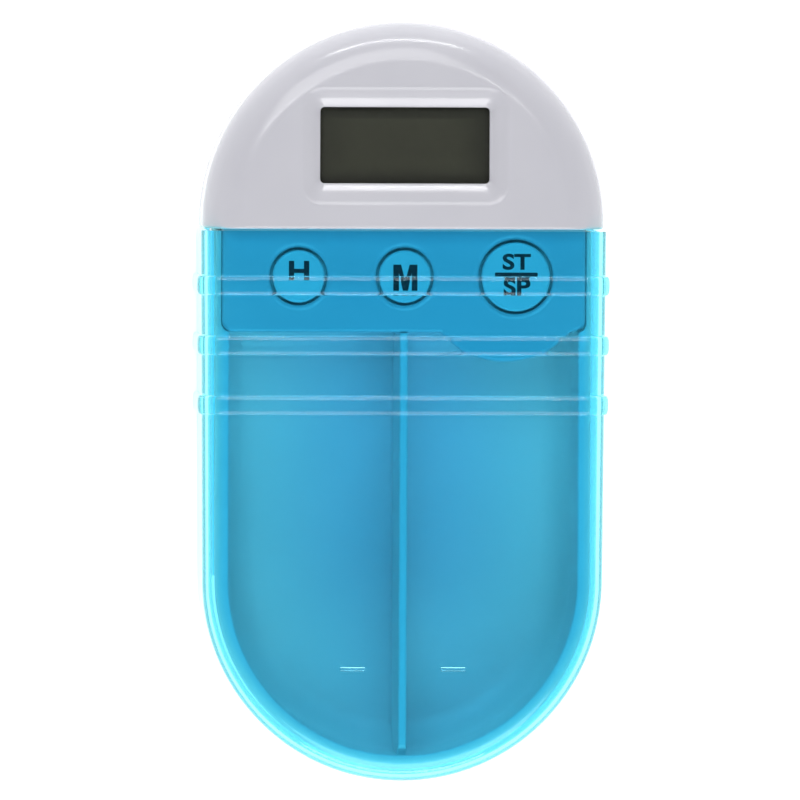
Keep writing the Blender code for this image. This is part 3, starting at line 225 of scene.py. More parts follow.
# %% Write the tools that cut and join
def apply_all(made):
    """Turns the object's modifiers into a plain mesh."""
    graph = bpy.context.evaluated_depsgraph_get()
    mesh = bpy.data.meshes.new_from_object(made.evaluated_get(graph))
    made.modifiers.clear()
    made.data = mesh
    mesh.name = made.name
    return made


def boolean(made, operation, tools):
    """Joins closed forms or takes them away, one by one, then drops them."""
    for tool in tools:
        step = made.modifiers.new(tool.name, "BOOLEAN")
        step.operation = operation
        step.object = tool
        step.solver = "EXACT"
        apply_all(made)
        bpy.data.objects.remove(tool)
    bm = bmesh.new()
    bm.from_mesh(made.data)
    bmesh.ops.remove_doubles(bm, verts=bm.verts, dist=WELD * MM)
    bmesh.ops.dissolve_degenerate(bm, edges=bm.edges, dist=SHORTEST * MM)
    bm.to_mesh(made.data)
    bm.free()


def add(made, *tools):
    boolean(made, "UNION", tools)


def cut(made, *tools):
    boolean(made, "DIFFERENCE", tools)


def bevel_edges(made, width, steps, y, wanted):
    """Rounds the sharp edges of the flat face at y whose two heights are wanted."""
    bm = bmesh.new()
    bm.from_mesh(made.data)
    picked = [
        edge for edge in bm.edges
        if all(abs(vert.co.y / MM - y) < 0.01 for vert in edge.verts)
        and wanted([vert.co.z / MM for vert in edge.verts])
        and len(edge.link_faces) == 2 and edge.calc_face_angle(0) > SHARP
    ]
    bmesh.ops.bevel(
        bm, geom=picked, offset=width * MM, offset_type="OFFSET", segments=steps,
        profile=0.5, affect="EDGES", clamp_overlap=True,
    )
    bm.to_mesh(made.data)
    bm.free()


def open_edges(made):
    bm = bmesh.new()
    bm.from_mesh(made.data)
    count = sum(1 for edge in bm.edges if len(edge.link_faces) != 2)
    bm.free()
    return count


print("merging distance", WELD, "mm")

# %% [markdown]
# Each finished piece is shaded smooth up to an angle, gets its material and is told which body it
# rides on, and the solids that it stands for are hidden. Its edges are counted, because a closed
# surface has two faces at every edge.

# %% Write the finishing step
def finish_piece(made, body, material, slot, *nodes, smooth=40):
    """Shades a piece smoothly, gives it its material, says what it rides on and hides the solids it
    stands for.
    """
    made.data.materials.clear()
    made.data.materials.append(material)
    if smooth:
        made.data.shade_smooth()
        made.data.set_sharp_from_angle(angle=radians(smooth))
        step = made.modifiers.new("Weighted normals", "WEIGHTED_NORMAL")
        step.keep_sharp = True
        apply_all(made)
    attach(made, body)
    if nodes:
        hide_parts(*nodes)
    print(made.name, "triangles", sum(len(p.vertices) - 2 for p in made.data.polygons),
          "open edges", open_edges(made))
    return made


print("pieces can be finished")

# %% [markdown]
# ## Camera, light and floor
# The photograph looks straight down on the front, from a little to the left and from a little
# beyond the head. A long lens keeps the sides parallel. An orthographic camera would do nearly as
# well, but it would see none of the side walls.

# %% Set up the camera
scene = bpy.context.scene
scene.view_settings.view_transform = "Standard"
CAMERA_AWAY, FRAME_HEIGHT = 1500.0, 116.4
CAMERA_SIDE, CAMERA_UP, CAMERA_ROLL = radians(3.6), radians(2.2), radians(0.25)
AIM = Vector((-0.05, 0.05, 10.0))
SENSOR = 36.0

camera = bpy.data.objects.new("Camera", bpy.data.cameras.new("Camera"))
scene.collection.objects.link(camera)
scene.camera = camera
outward = Vector((-sin(CAMERA_SIDE), sin(CAMERA_UP), cos(CAMERA_SIDE))).normalized()
camera.location = (AIM + outward * CAMERA_AWAY) * MM
right = Vector((0, 1, 0)).cross(outward).normalized()
basis = Matrix((right, outward.cross(right), outward)).transposed()
camera.matrix_world = Matrix.Translation(camera.location) @ (
    basis @ Matrix.Rotation(CAMERA_ROLL, 3, "Z")
).to_4x4()
camera.data.sensor_width = SENSOR
camera.data.lens = SENSOR * CAMERA_AWAY / FRAME_HEIGHT
camera.data.clip_end = 10.0
print("lens", round(camera.data.lens, 1), "mm, away", CAMERA_AWAY, "mm")

# %% [markdown]
# ## A kit for materials
# Most materials are built from the same few nodes: a Principled shader, noise read in object
# coordinates, a colour ramp between two close tones and a fine bump. `add_node` makes a node and
# fills its inputs in one call, with a plain value or with another node's output.

# %% Write the material kit
def fill(tree, node, inputs):
    """Fills inputs, by name or number, with values or with the outputs of other nodes."""
    for key, value in inputs.items():
        if isinstance(value, bpy.types.NodeSocket):
            tree.links.new(value, node.inputs[key])
        else:
            node.inputs[key].default_value = value
    return node


def add_node(tree, kind, inputs=None, **settings):
    node = tree.nodes.new(kind)
    for key, value in settings.items():
        setattr(node, key, value)
    return fill(tree, node, inputs or {})


def maths(tree, operation, *values):
    """The output of a Math node whose inputs are numbers or other nodes' outputs."""
    return add_node(tree, "ShaderNodeMath", dict(enumerate(values)), operation=operation).outputs[0]


def between(tree, value, start, finish, low=0.0, high=1.0, kind="LINEAR"):
    """Turns start to finish into low to high, and holds what lies beyond."""
    return add_node(tree, "ShaderNodeMapRange", {
        "Value": value, "From Min": start, "From Max": finish, "To Min": low, "To Max": high,
    }, interpolation_type=kind).outputs["Result"]


def mix_shaders(tree, share, first, second):
    return add_node(tree, "ShaderNodeMixShader", {"Fac": share, 1: first, 2: second}).outputs[0]


print("nodes can be made")

# %% [markdown]
# Moulded plastic is never quite one colour or one gloss. A picture could show that, but noise read
# in object coordinates keeps one size on every piece and has no seam. Each finish is two close
# tones, an uneven roughness and a fine bump.

# %% Write the surface helpers
def new_material(name):
    material = bpy.data.materials.new(name)
    material.use_nodes = True
    return material, material.node_tree, material.node_tree.nodes["Principled BSDF"]


def object_place(tree):
    return add_node(tree, "ShaderNodeTexCoord").outputs["Object"]


def object_noise(tree, scale, detail=3.0, stretch=(1, 1, 1), roughness=0.5):
    """Noise read at places in the object, in metres, so that it has one size on every piece."""
    place = add_node(tree, "ShaderNodeMapping", {"Vector": object_place(tree), "Scale": stretch})
    return add_node(tree, "ShaderNodeTexNoise", {
        "Vector": place.outputs["Vector"], "Scale": scale, "Detail": detail,
        "Roughness": roughness,
    }).outputs["Fac"]


def ramp(tree, factor, *stops):
    """The colour of a ramp with stops of (place, (red, green, blue))."""
    node = add_node(tree, "ShaderNodeValToRGB", {"Fac": factor})
    elements = node.color_ramp.elements
    while len(elements) < len(stops):
        elements.new(0.5)
    for element, (place, colour) in zip(elements, stops):
        element.position = place
        element.color = (*colour, 1)
    return node.outputs["Color"]


def bump(tree, height, shader, strength, depth):
    fill(tree, shader, {"Normal": add_node(tree, "ShaderNodeBump", {
        "Strength": strength, "Distance": depth * MM, "Height": height,
    }).outputs["Normal"]})


def solid_material(
    name, dark, light, rough, grain, bump_depth, bump_strength,
    metallic=0.0, stretch=(1, 1, 1), coat=0.0, broad=60.0, glow=0.0,
):
    """Two close tones over the piece, uneven roughness and a fine grain. rough is (low, high)."""
    material, tree, shader = new_material(name)
    cloud = object_noise(tree, broad, 2.0, stretch)
    fine = object_noise(tree, grain, 4.0, stretch, 0.6)
    fill(tree, shader, {
        "Base Color": ramp(tree, cloud, (0.35, dark), (0.65, light)),
        "Roughness": between(tree, fine, 0.3, 0.7, *rough), "Metallic": metallic, "IOR": 1.46,
        "Coat Weight": coat, "Coat Roughness": 0.12, "Subsurface Weight": glow,
        "Subsurface Radius": (1.0, 1.0, 1.0), "Subsurface Scale": 2.0 * MM,
    })
    bump(tree, fine, shader, bump_strength, bump_depth)
    return material


print("finishes can be mixed")

# %% [markdown]
# ## Light
# Two soft boxes stand north and south of the camera, so the pockets are lit without hard shadows.
# Three strips draw thin highlights: one round the head, one on the ribs and one on the far end.
# Sun lamps would be simpler, but broad lamps leave the soft edges of a studio picture.

# %% Light it with soft boxes
def soft_box(name, place, target, width, height, power):
    lamp = bpy.data.lights.new(name, "AREA")
    lamp.shape = "RECTANGLE"
    lamp.size, lamp.size_y = width * MM, height * MM
    lamp.energy = power
    made = bpy.data.objects.new(name, lamp)
    made.location = Vector(place) * MM
    made.rotation_euler = (Vector(target) - Vector(place)).to_track_quat("-Z", "Y").to_euler()
    scene.collection.objects.link(made)


soft_box("North box", (-80, 345, 560), (0, 0, 0), 440, 300, 1.34)
soft_box("South box", (70, -365, 540), (0, 0, 0), 440, 300, 1.22)
soft_box("Top strip", (0, 480, 165), (0, 20, 15), 360, 18, 0.55)
soft_box("Rib strip", (0, 178, 560), (0, 0, 15), 420, 14, 0.25)
soft_box("Foot strip", (0, -440, 190), (0, -30, 10), 420, 90, 0.8)

print("lamps", len(bpy.data.lights))

# %% [markdown]
# Glossy plastic is mostly what it mirrors. A studio picture could surround the scene, but a ramp
# by height is enough: mirrored rays see a white room round the sides and a dark ceiling, so that
# the flat cover stays clear. The camera itself sees plain white behind the box.

# %% Paint the room
world = bpy.data.worlds.new("Studio")
scene.world = world
world.use_nodes = True
tree = world.node_tree
tree.nodes.clear()
path = add_node(tree, "ShaderNodeLightPath").outputs
heading = add_node(tree, "ShaderNodeTexCoord").outputs["Generated"]
height = add_node(tree, "ShaderNodeSeparateXYZ", {0: heading}).outputs["Z"]
room, mirrored, seen = (
    add_node(tree, "ShaderNodeBackground", {"Color": colour, "Strength": strength}).outputs[0]
    for colour, strength in (
        ((0.95, 0.96, 1.0, 1), 0.26),
        (ramp(tree, height, (0.30, (1.0, 1.0, 1.0)), (0.62, (0.55, 0.55, 0.56)),
              (0.93, (0.02, 0.02, 0.02))), 1.0),
        ((1, 1, 1, 1), 1.0),
    )
)
sharp = maths(tree, "MAXIMUM", path["Is Glossy Ray"], path["Is Transmission Ray"])
unseen = mix_shaders(tree, sharp, room, mirrored)
add_node(tree, "ShaderNodeOutputWorld", {
    "Surface": mix_shaders(tree, path["Is Camera Ray"], unseen, seen)})
print("nodes of the room", len(tree.nodes))

# %% [markdown]
# The floor is pale paper that glows a little, so the camera sees it as white apart from the soft
# shadow. It glows less where a ray has come only a short way, because light gathers in the gap
# under the box. From below it is clear, so that the back can be looked at.

# %% Make the floor
FLOOR_HALF, FLOOR_Z = 3000, -0.05
floor_bm = bmesh.new()
bmesh.ops.create_grid(floor_bm, x_segments=1, y_segments=1, size=FLOOR_HALF)
floor = new_object("Floor", floor_bm)
floor_material, tree, shader = new_material("Paper floor")
fibre = object_noise(tree, 220.0, 5.0)
fill(tree, shader, {
    "Base Color": ramp(tree, fibre, (0.3, (0.955, 0.957, 0.96)), (0.7, (0.975, 0.976, 0.978))),
    "Roughness": 0.9, "Specular IOR Level": 0.1,
})
reach = add_node(tree, "ShaderNodeLightPath").outputs["Ray Length"]
glow = between(tree, reach, 1.0 * MM, 3.0 * MM, 0.32, 0.55)
lift = add_node(tree, "ShaderNodeEmission", {"Color": (0.98, 0.99, 1.0, 1), "Strength": glow})
paper = add_node(tree, "ShaderNodeAddShader", {0: shader.outputs[0], 1: lift.outputs[0]})
face = add_node(tree, "ShaderNodeNewGeometry").outputs["Backfacing"]
under = add_node(tree, "ShaderNodeBsdfTransparent")
fill(tree, tree.nodes["Material Output"], {
    "Surface": mix_shaders(tree, face, paper.outputs[0], under.outputs[0])})
for vert in floor.data.vertices:
    vert.co.z = FLOOR_Z * MM
floor.data.materials.append(floor_material)
print("floor laid")

# %% [markdown]
# ## Plastics, metals and rubber
# The white case is glossy moulded plastic with a trace of grey-blue. Inner pieces have their own
# materials too, because they show when the cover or the battery door is off. The three numbers
# after the roughness are the grain's scale, its depth in millimetres and its strength.

# %% Mix the materials
WHITE = solid_material(
    "Glossy white plastic", (0.617, 0.613, 0.662), (0.641, 0.637, 0.684), (0.16, 0.24), 700.0,
    0.004, 0.12, coat=0.25)
WHITE_BACK = solid_material(
    "Fine matt white plastic", (0.755, 0.755, 0.775), (0.78, 0.78, 0.8), (0.34, 0.48), 2600.0,
    0.012, 0.3, glow=1.0)
KEY_WHITE = solid_material(
    "White key plastic", (0.74, 0.745, 0.76), (0.77, 0.772, 0.785), (0.2, 0.3), 1500.0, 0.004,
    0.15)
INK = solid_material(
    "Black printed ink", (0.01, 0.01, 0.012), (0.018, 0.018, 0.022), (0.35, 0.55), 3000.0, 0.003,
    0.2, broad=400.0)
FRAME_BLACK = solid_material(
    "Black moulded plastic", (0.018, 0.018, 0.02), (0.03, 0.03, 0.033), (0.4, 0.6), 1800.0, 0.01,
    0.3)
SILICONE = solid_material(
    "Grey silicone", (0.3, 0.3, 0.31), (0.36, 0.36, 0.37), (0.5, 0.65), 1500.0, 0.01, 0.3)
RESIN = solid_material(
    "Black resin glob", (0.012, 0.012, 0.014), (0.022, 0.021, 0.024), (0.12, 0.3), 500.0, 0.05,
    0.4)
STEEL = solid_material(
    "Bright drawn steel", (0.6, 0.6, 0.6), (0.7, 0.7, 0.69), (0.18, 0.34), 900.0, 0.006, 0.3,
    metallic=1.0, stretch=(1, 6, 1))
CELL_STEEL = solid_material(
    "Nickel cell can", (0.58, 0.57, 0.55), (0.68, 0.67, 0.65), (0.2, 0.32), 1400.0, 0.004, 0.3,
    metallic=1.0)
SCREW_STEEL = solid_material(
    "Zinc screw steel", (0.42, 0.42, 0.43), (0.55, 0.55, 0.56), (0.24, 0.42), 2200.0, 0.006, 0.4,
    metallic=1.0, broad=500.0)
BRASS = solid_material(
    "Buzzer brass", (0.6, 0.42, 0.17), (0.72, 0.52, 0.24), (0.22, 0.38), 1600.0, 0.005, 0.3,
    metallic=1.0)
RED_SLEEVE = solid_material(
    "Red wire sleeve", (0.42, 0.02, 0.02), (0.55, 0.03, 0.03), (0.35, 0.5), 2500.0, 0.008, 0.3,
    broad=300.0)
BLACK_SLEEVE = solid_material(
    "Black wire sleeve", (0.012, 0.012, 0.012), (0.025, 0.025, 0.026), (0.35, 0.5), 2500.0, 0.008,
    0.3, broad=300.0)


print("solid finishes", len(bpy.data.materials))

# %% [markdown]
# Two inner pieces have a pattern. The rubber connector under the display is a stack of thin
# conducting and insulating layers, which a Wave texture draws. The board's tracks show through its
# green mask as paler lines, and the edges of Voronoi cells stand in for them. Small pictures could
# do both, but these stay sharp from near.

# %% Mix the striped rubber and the board
def plain_finish(tree, shader, colour, rough, grain, strength, depth):
    fill(tree, shader, {"Base Color": colour, "Roughness": rough})
    bump(tree, object_noise(tree, grain), shader, strength, depth)


def striped_rubber():
    """Thin dark and pale layers along X, as a rubber connector has."""
    material, tree, shader = new_material("Striped connector rubber")
    wave = add_node(tree, "ShaderNodeTexWave", {"Vector": object_place(tree), "Scale": 1300.0},
                    wave_type="BANDS", bands_direction="X")
    tone = ramp(tree, wave.outputs["Fac"], (0.42, (0.02, 0.02, 0.02)), (0.55, (0.62, 0.5, 0.38)))
    plain_finish(tree, shader, tone, 0.6, 1500.0, 0.3, 0.01)
    return material


def board_green():
    """Solder mask with faint lighter tracks under it."""
    material, tree, shader = new_material("Green board")
    cells = add_node(tree, "ShaderNodeTexVoronoi", {"Vector": object_place(tree), "Scale": 260.0},
                     feature="DISTANCE_TO_EDGE")
    tone = ramp(tree, cells.outputs["Distance"],
                (0.05, (0.03, 0.22, 0.09)), (0.09, (0.012, 0.115, 0.05)))
    plain_finish(tree, shader, tone, 0.35, 900.0, 0.2, 0.01)
    return material


STRIPES, BOARD = striped_rubber(), board_green()
print("patterned finishes:", STRIPES.name, "and", BOARD.name)

# %% [markdown]
# ## Clear plastic
# What the camera sees is tinted glass. Light on its way to what lies behind passes straight
# through instead, with a tint of its own, because glass alone would leave the pockets black. That
# tint changes with how far below the cover the light lands, and it is palest by the outer walls.

# %% Mix the clear plastics
FOOT_CENTRE_Y = -24.8
CLOSE, FAR = 3.0, 9.0
SIDE_TOP, SIDE_LOW = 18.0, 15.5
WALL_START, WALL_END = 6.0, 26.0
EDGE_START, EDGE_END = 25.8, 28.2
DEEPEST_RAY = 4.5


def mix_tints(tree, share, first, second):
    return add_node(tree, "ShaderNodeMix", {"Factor": share, "A": first, "B": second},
                    data_type="RGBA").outputs["Result"]


def clear_plastic(name, surface, straight, deep, sides, rough=0.02, grain_bump=0.05):
    """Tinted clear plastic.

    surface is the tint that the camera sees. straight is the tint of light on its way to what
    lies close under the piece, deep that for what lies further down, and sides the palest, for
    light that comes in near or through the side walls.
    """
    material, tree, shader = new_material(name)
    dark = tuple(0.99 * value for value in surface)
    fill(tree, shader, {
        "Base Color": ramp(tree, object_noise(tree, 40.0, 2.0), (0.3, dark), (0.7, surface)),
        "Transmission Weight": 1.0, "IOR": 1.45, "Roughness": rough,
    })
    bump(tree, object_noise(tree, 500.0, 3.0), shader, grain_bump, 0.002)
    path = add_node(tree, "ShaderNodeLightPath").outputs
    place = add_node(tree, "ShaderNodeSeparateXYZ", {0: object_place(tree)}).outputs

    def smooth(value, start, finish):
        return between(tree, value, start * MM, finish * MM, kind="SMOOTHSTEP")

    near = smooth(path["Ray Length"], CLOSE, FAR)
    side = smooth(place["Z"], SIDE_TOP, SIDE_LOW)
    beyond = maths(tree, "ADD", place["Y"], -FOOT_CENTRE_Y * MM)
    southward = maths(tree, "MINIMUM", beyond, 0.0)
    flat = add_node(tree, "ShaderNodeCombineXYZ", {"X": place["X"], "Y": southward})
    out = add_node(tree, "ShaderNodeVectorMath", {0: flat.outputs[0]}, operation="LENGTH")
    out = out.outputs["Value"]
    wall = between(tree, out, WALL_START * MM, WALL_END * MM)
    outer = maths(tree, "MAXIMUM", maths(tree, "MULTIPLY", wall, near),
                  smooth(out, EDGE_START, EDGE_END))
    tint = mix_tints(tree, near, (*straight, 1), (*deep, 1))
    tint = mix_tints(tree, maths(tree, "MAXIMUM", outer, side), tint, (*sides, 1))
    through = add_node(tree, "ShaderNodeBsdfTransparent", {"Color": tint})
    lamps = maths(tree, "MAXIMUM", path["Is Shadow Ray"], path["Is Diffuse Ray"])
    long_way = maths(tree, "GREATER_THAN", path["Ray Depth"], DEEPEST_RAY)
    passing = maths(tree, "MAXIMUM", lamps, long_way)
    fill(tree, tree.nodes["Material Output"], {
        "Surface": mix_shaders(tree, passing, shader.outputs[0], through.outputs[0])})
    return material


BLUE = clear_plastic("Clear blue plastic", (0.31, 0.81, 1.0), straight=(0.33, 0.86, 1.0),
                     deep=(0.39, 0.75, 0.93), sides=(0.62, 1.0, 1.0))
CLEAR = clear_plastic("Clear window plastic", *[(0.97, 0.98, 0.97)] * 4)
print("materials", len(bpy.data.materials))

# %% [markdown]
# ## The clear cover
# On the real box this is one thin blue moulding that slides over the tray. A box with a Solidify
# modifier would give the wall, but not the lips that hold it on the rails. So half of its
# cross-section is drawn as a short list of points: along the front, round the edge, down the side
# and back up inside. Every outer point also keeps a vector that points straight out, for the grip
# ribs.

# %% Draw the cover's profile
RIB_WIDTH, RIB_HEIGHT, RIB_PITCH, FIRST_RIB, RIB_COUNT = 2.8, 0.6, 8.65, 16.9, 3
RIB_SQUARENESS, RIB_STEPS = 3.2, 16
LIP_EDGE, LIP_TOP = 27.5, 1.8
EDGE_STEPS, END_STEPS, SIDE_STEP = 10, 72, 2.4


def cover_half(y):
    """Half the cover's width, which grows a little from the far end to the mouth."""
    share = max(0.0, (y - COVER_Y) / (COVER_MOUTH - COVER_Y))
    return COVER_R + (COVER_MOUTH_HALF - COVER_R) * share


def cover_profile(half, lipped):
    """(distance from the middle, height, outward x share, outward z share) round the half wall."""
    r0, z0 = half - COVER_ROUND, COVER_TOP - COVER_ROUND
    points = [(0.0, COVER_TOP, 0.0, 1.0)]
    points += [
        (r, z, (r - r0) / COVER_ROUND, (z - z0) / COVER_ROUND)
        for r, z in reversed(arc(r0, z0, COVER_ROUND, 0, 90, EDGE_STEPS))
    ]
    points.append((half, COVER_FOOT, 1.0, 0.0))
    inner, bend = half - COVER_WALL, COVER_ROUND - COVER_WALL
    edge = LIP_EDGE if lipped else inner
    inside = [(edge, COVER_FOOT), (edge, LIP_TOP), (inner, LIP_TOP)]
    inside += arc(inner - bend, COVER_UNDER - bend, bend, 0, 90, EDGE_STEPS)
    return points + [(r, z, 0.0, 0.0) for r, z in inside + [(0.0, COVER_UNDER)]]


print("points in the profile", len(cover_profile(COVER_R, True)))

# %% [markdown]
# The profile is carried along a U, down the right side, round the far end and up the left side, so
# the wall is one closed form. A curve with a bevel object could sweep it, but the cover grows
# wider towards its mouth. The stations stand close together where a rib will rise.

# %% Sweep the cover's wall
def cover_stations():
    """Places along the straight side, close together where a rib rises."""
    places = {COVER_MOUTH, COVER_Y, 24.3, 21.5}
    for number in range(RIB_COUNT):
        middle = FIRST_RIB - number * RIB_PITCH
        for step in range(-RIB_STEPS, RIB_STEPS + 1):
            places.add(round(middle + RIB_WIDTH / 2 * sin(step / RIB_STEPS * pi / 2), 5))
        for away in (0.25, 1.2):
            places.update(middle + side * (RIB_WIDTH / 2 + away) for side in (-1, 1))
    places.update(COVER_Y + step * SIDE_STEP for step in range(1, 10))
    return sorted(places, reverse=True)


def sweep_cover():
    bm = bmesh.new()
    layer = bm.verts.layers.float_vector.new("outward")
    straight = cover_stations()
    turns = [-pi * step / END_STEPS for step in range(END_STEPS + 1)]
    stations = [(y, 0.0, True) for y in straight] + [(COVER_Y, turn, False) for turn in turns]
    stations += [(y, pi, True) for y in reversed(straight)]
    rows = []
    for y, turn, lipped in stations:
        row = []
        for r, z, out_r, out_z in cover_profile(cover_half(y), lipped):
            vert = bm.verts.new((r * cos(turn), y + r * sin(turn), z))
            vert[layer] = Vector((out_r * cos(turn), out_r * sin(turn), out_z)) * MM
            row.append(vert)
        rows.append(row)
    skin(bm, rows)
    for row in (rows[0], rows[-1]):
        for i in range(len(row) // 2 - 1):
            bm.faces.new((row[i], row[i + 1], row[-i - 2], row[-i - 1]))
    bmesh.ops.remove_doubles(bm, verts=bm.verts, dist=SAME_POINT)
    bmesh.ops.dissolve_degenerate(bm, edges=bm.edges, dist=TINY_EDGE)
    return new_object("sliding_cover_shell", bm)


cover = sweep_cover()
print("cover wall", len(cover.data.vertices), "vertices, open edges", open_edges(cover))

# %% [markdown]
# ## Grip ribs by Geometry Nodes
# Three ribs across the cover give the thumb a hold. They are raised out of the wall itself, so a
# tree of nodes moves the wall's own points. Rods could be joined to the wall by Booleans instead,
# but the tree keeps their number, width and height as inputs. These helpers open a tree, close it
# and run it.

# %% Write the tree helpers
NUMBER, MATERIAL = "NodeSocketFloat", "NodeSocketMaterial"


def node_group(name, inputs):
    group = bpy.data.node_groups.new(name, "GeometryNodeTree")
    group.interface.new_socket("Geometry", in_out="INPUT", socket_type="NodeSocketGeometry")
    for title, kind, value in inputs:
        socket = group.interface.new_socket(title, in_out="INPUT", socket_type=kind)
        if value is not None:
            socket.default_value = value
    group.interface.new_socket("Geometry", in_out="OUTPUT", socket_type="NodeSocketGeometry")
    given = add_node(group, "NodeGroupInput").outputs
    return group, given, add_node(group, "NodeGroupOutput")


def end_tree(group, geometry, material, finish):
    """Realize Instances and Set Material close every tree."""
    real = add_node(group, "GeometryNodeRealizeInstances", {"Geometry": geometry})
    paint = add_node(group, "GeometryNodeSetMaterial", {
        "Geometry": real.outputs["Geometry"], "Material": material})
    fill(group, finish, {"Geometry": paint.outputs["Geometry"]})


def grow(made, group, **values):
    """Runs a tree on an object with its named inputs set, and keeps the result as a plain mesh."""
    step = made.modifiers.new(group.name, "NODES")
    step.node_group = group
    names = {
        item.name.replace(" ", "_"): item.identifier
        for item in group.interface.items_tree if item.in_out == "INPUT"
    }
    for title, value in values.items():
        step[names[title]] = value
    return apply_all(made)


print("trees can be built")

# %% [markdown]
# The tree finds the nearest rib line for each point. A rib's cross-section is a squared-off half
# ellipse with a flat crown and round flanks, and one tree makes as many ribs as `Count` says.

# %% Build the rib tree
ribs, given, end = node_group("Raised ribs", [
    ("First place", NUMBER, FIRST_RIB * MM), ("Pitch", NUMBER, RIB_PITCH * MM),
    ("Count", "NodeSocketInt", RIB_COUNT), ("Width", NUMBER, RIB_WIDTH * MM),
    ("Height", NUMBER, RIB_HEIGHT * MM), ("Squareness", NUMBER, RIB_SQUARENESS),
    ("Material", MATERIAL, None),
])
place = add_node(ribs, "GeometryNodeInputPosition").outputs[0]
along = add_node(ribs, "ShaderNodeSeparateXYZ", {0: place}).outputs["Y"]
down = maths(ribs, "SUBTRACT", given["First place"], along)
line = maths(ribs, "ROUND", maths(ribs, "DIVIDE", down, given["Pitch"]))
last_line = maths(ribs, "SUBTRACT", given["Count"], 1.0)
line = maths(ribs, "MINIMUM", maths(ribs, "MAXIMUM", line, 0.0), last_line)
middle = maths(ribs, "MULTIPLY", line, given["Pitch"])
away = maths(ribs, "ABSOLUTE", maths(ribs, "SUBTRACT", down, middle))
half = maths(ribs, "MULTIPLY", given["Width"], 0.5)
share = maths(ribs, "MINIMUM", maths(ribs, "DIVIDE", away, half), 1.0)
power = maths(ribs, "POWER", share, given["Squareness"])
root = maths(ribs, "DIVIDE", 1.0, given["Squareness"])
crown = maths(ribs, "POWER", maths(ribs, "SUBTRACT", 1.0, power), root)
rise = maths(ribs, "MULTIPLY", crown, given["Height"])
stored = add_node(ribs, "GeometryNodeInputNamedAttribute", {"Name": "outward"},
                  data_type="FLOAT_VECTOR")
lift = add_node(ribs, "ShaderNodeVectorMath", {
    0: stored.outputs["Attribute"], "Scale": maths(ribs, "MULTIPLY", rise, 1.0 / MM),
}, operation="SCALE")
move = add_node(ribs, "GeometryNodeSetPosition", {
    "Geometry": given["Geometry"], "Offset": lift.outputs[0]})
end_tree(ribs, move.outputs["Geometry"], given["Material"], end)

grow(cover, ribs, Material=BLUE)
print("highest point of the ribs", round(max(v.co.z for v in cover.data.vertices) / MM, 2), "mm")

# %% [markdown]
# Two small bars under the far end stop the cover, and a notch in its end wall takes the latch.
# Bevelled curves could make the bars, but a loft of a half circle is closed at once and joins
# cleanly.

# %% Add the stop bars and the notch
BAR_Y, BAR_X, BAR_HALF, BAR_TOP = -38.65, 7.3, 1.75, 18.3
BAR_WIDE, BAR_DEEP = 0.32, 0.5
bar_ring = [
    (BAR_Y + BAR_WIDE * cos(t), BAR_TOP - BAR_DEEP * sin(t))
    for t in (pi * i / 10 for i in range(11))
]
for side in (-1, 1):
    ends = (side * BAR_X - BAR_HALF, side * BAR_X + BAR_HALF)
    add(cover, loft("stop bar", [[(x, y, z) for y, z in bar_ring] for x in ends]))
notch = [across(rounded_rectangle(11.0, 13.6, 1.2), y) for y in (-57.0, -50.0)]
cut(cover, loft("notch", notch))
cover.data.attributes.remove(cover.data.attributes["outward"])
finish_piece(cover, "cover", BLUE, "clear_blue", "sliding_cover", smooth=38)

# %% [markdown]
# ## The front case
# The head is half of a round form carried straight on to the cover's mouth. Its wall is hollowed,
# the key panel is let in below, and one tool cuts the sloped frame of the display. A bevelled
# cylinder could start the shell, but a turned profile lets the hollow be turned from the same arc
# with a smaller radius, so the wall is even.

# %% Shape the head shell
FACE_ROUND, BELOW_PARTING = 0.45, 8.0


def half_round(name, profile, steps=96):
    """Half of a turned form above HEAD_Y, carried straight down to HEAD_FACE, with flat ends."""
    bm = bmesh.new()
    turns = [(HEAD_FACE, 0.0)] + [(HEAD_Y, pi * i / steps) for i in range(steps + 1)]
    rows = [
        [bm.verts.new((r * cos(t), y + r * sin(t), z)) for r, z in profile]
        for y, t in turns + [(HEAD_FACE, pi)]
    ]
    skin(bm, rows)
    bm.faces.new(rows[0])
    bm.faces.new(list(reversed(rows[-1])))
    bmesh.ops.remove_doubles(bm, verts=bm.verts, dist=SAME_POINT)
    bmesh.ops.dissolve_degenerate(bm, edges=bm.edges, dist=TINY_EDGE)
    return new_object(name, bm)


def hollow_out(made, profile):
    """Hollows half a head and leaves the wall of its flat face."""
    hollow = half_round("hollow", profile, 72)
    cut(hollow, block("face wall", (-40, 10, -1), (40, HEAD_INNER_FACE, 30)))
    cut(made, hollow)


ceiling = HEAD_TOP - WALL
outer = [(0.0, PARTING_FRONT), (HEAD_R, PARTING_FRONT)]
outer += arc(HEAD_R - HEAD_ROUND, HEAD_TOP - HEAD_ROUND, HEAD_ROUND, 0, 90, 16)
front = half_round("front_case_shell", outer + [(0.0, HEAD_TOP)])
bevel_edges(front, FACE_ROUND, 4, HEAD_FACE, lambda heights: max(heights) > PARTING_FRONT + 0.1)
inner = [(0.0, BELOW_PARTING), (HEAD_R - WALL, BELOW_PARTING)]
inner += arc(HEAD_R - HEAD_ROUND, HEAD_TOP - HEAD_ROUND, HEAD_ROUND - WALL, 0, 90, 12)
hollow_out(front, inner + [(0.0, ceiling)])
print("head shell", len(front.data.vertices), "vertices, open edges", open_edges(front))

# %% [markdown]
# The panel's outline runs down the left side, along the lower edge, round the boss and up the right
# side. Drawing it again a little smaller at each height rounds its front edge. A Bevel modifier
# would pinch where the boss runs into the edge.

# %% Add the key panel
PANEL_ROUND, PANEL_END, CORNER_DROP = 0.55, 26.0, 0.5
PORTAL_HALF = POCKET_HALF - 0.3
PAD_X, PAD_Y = 15.5, 8.8


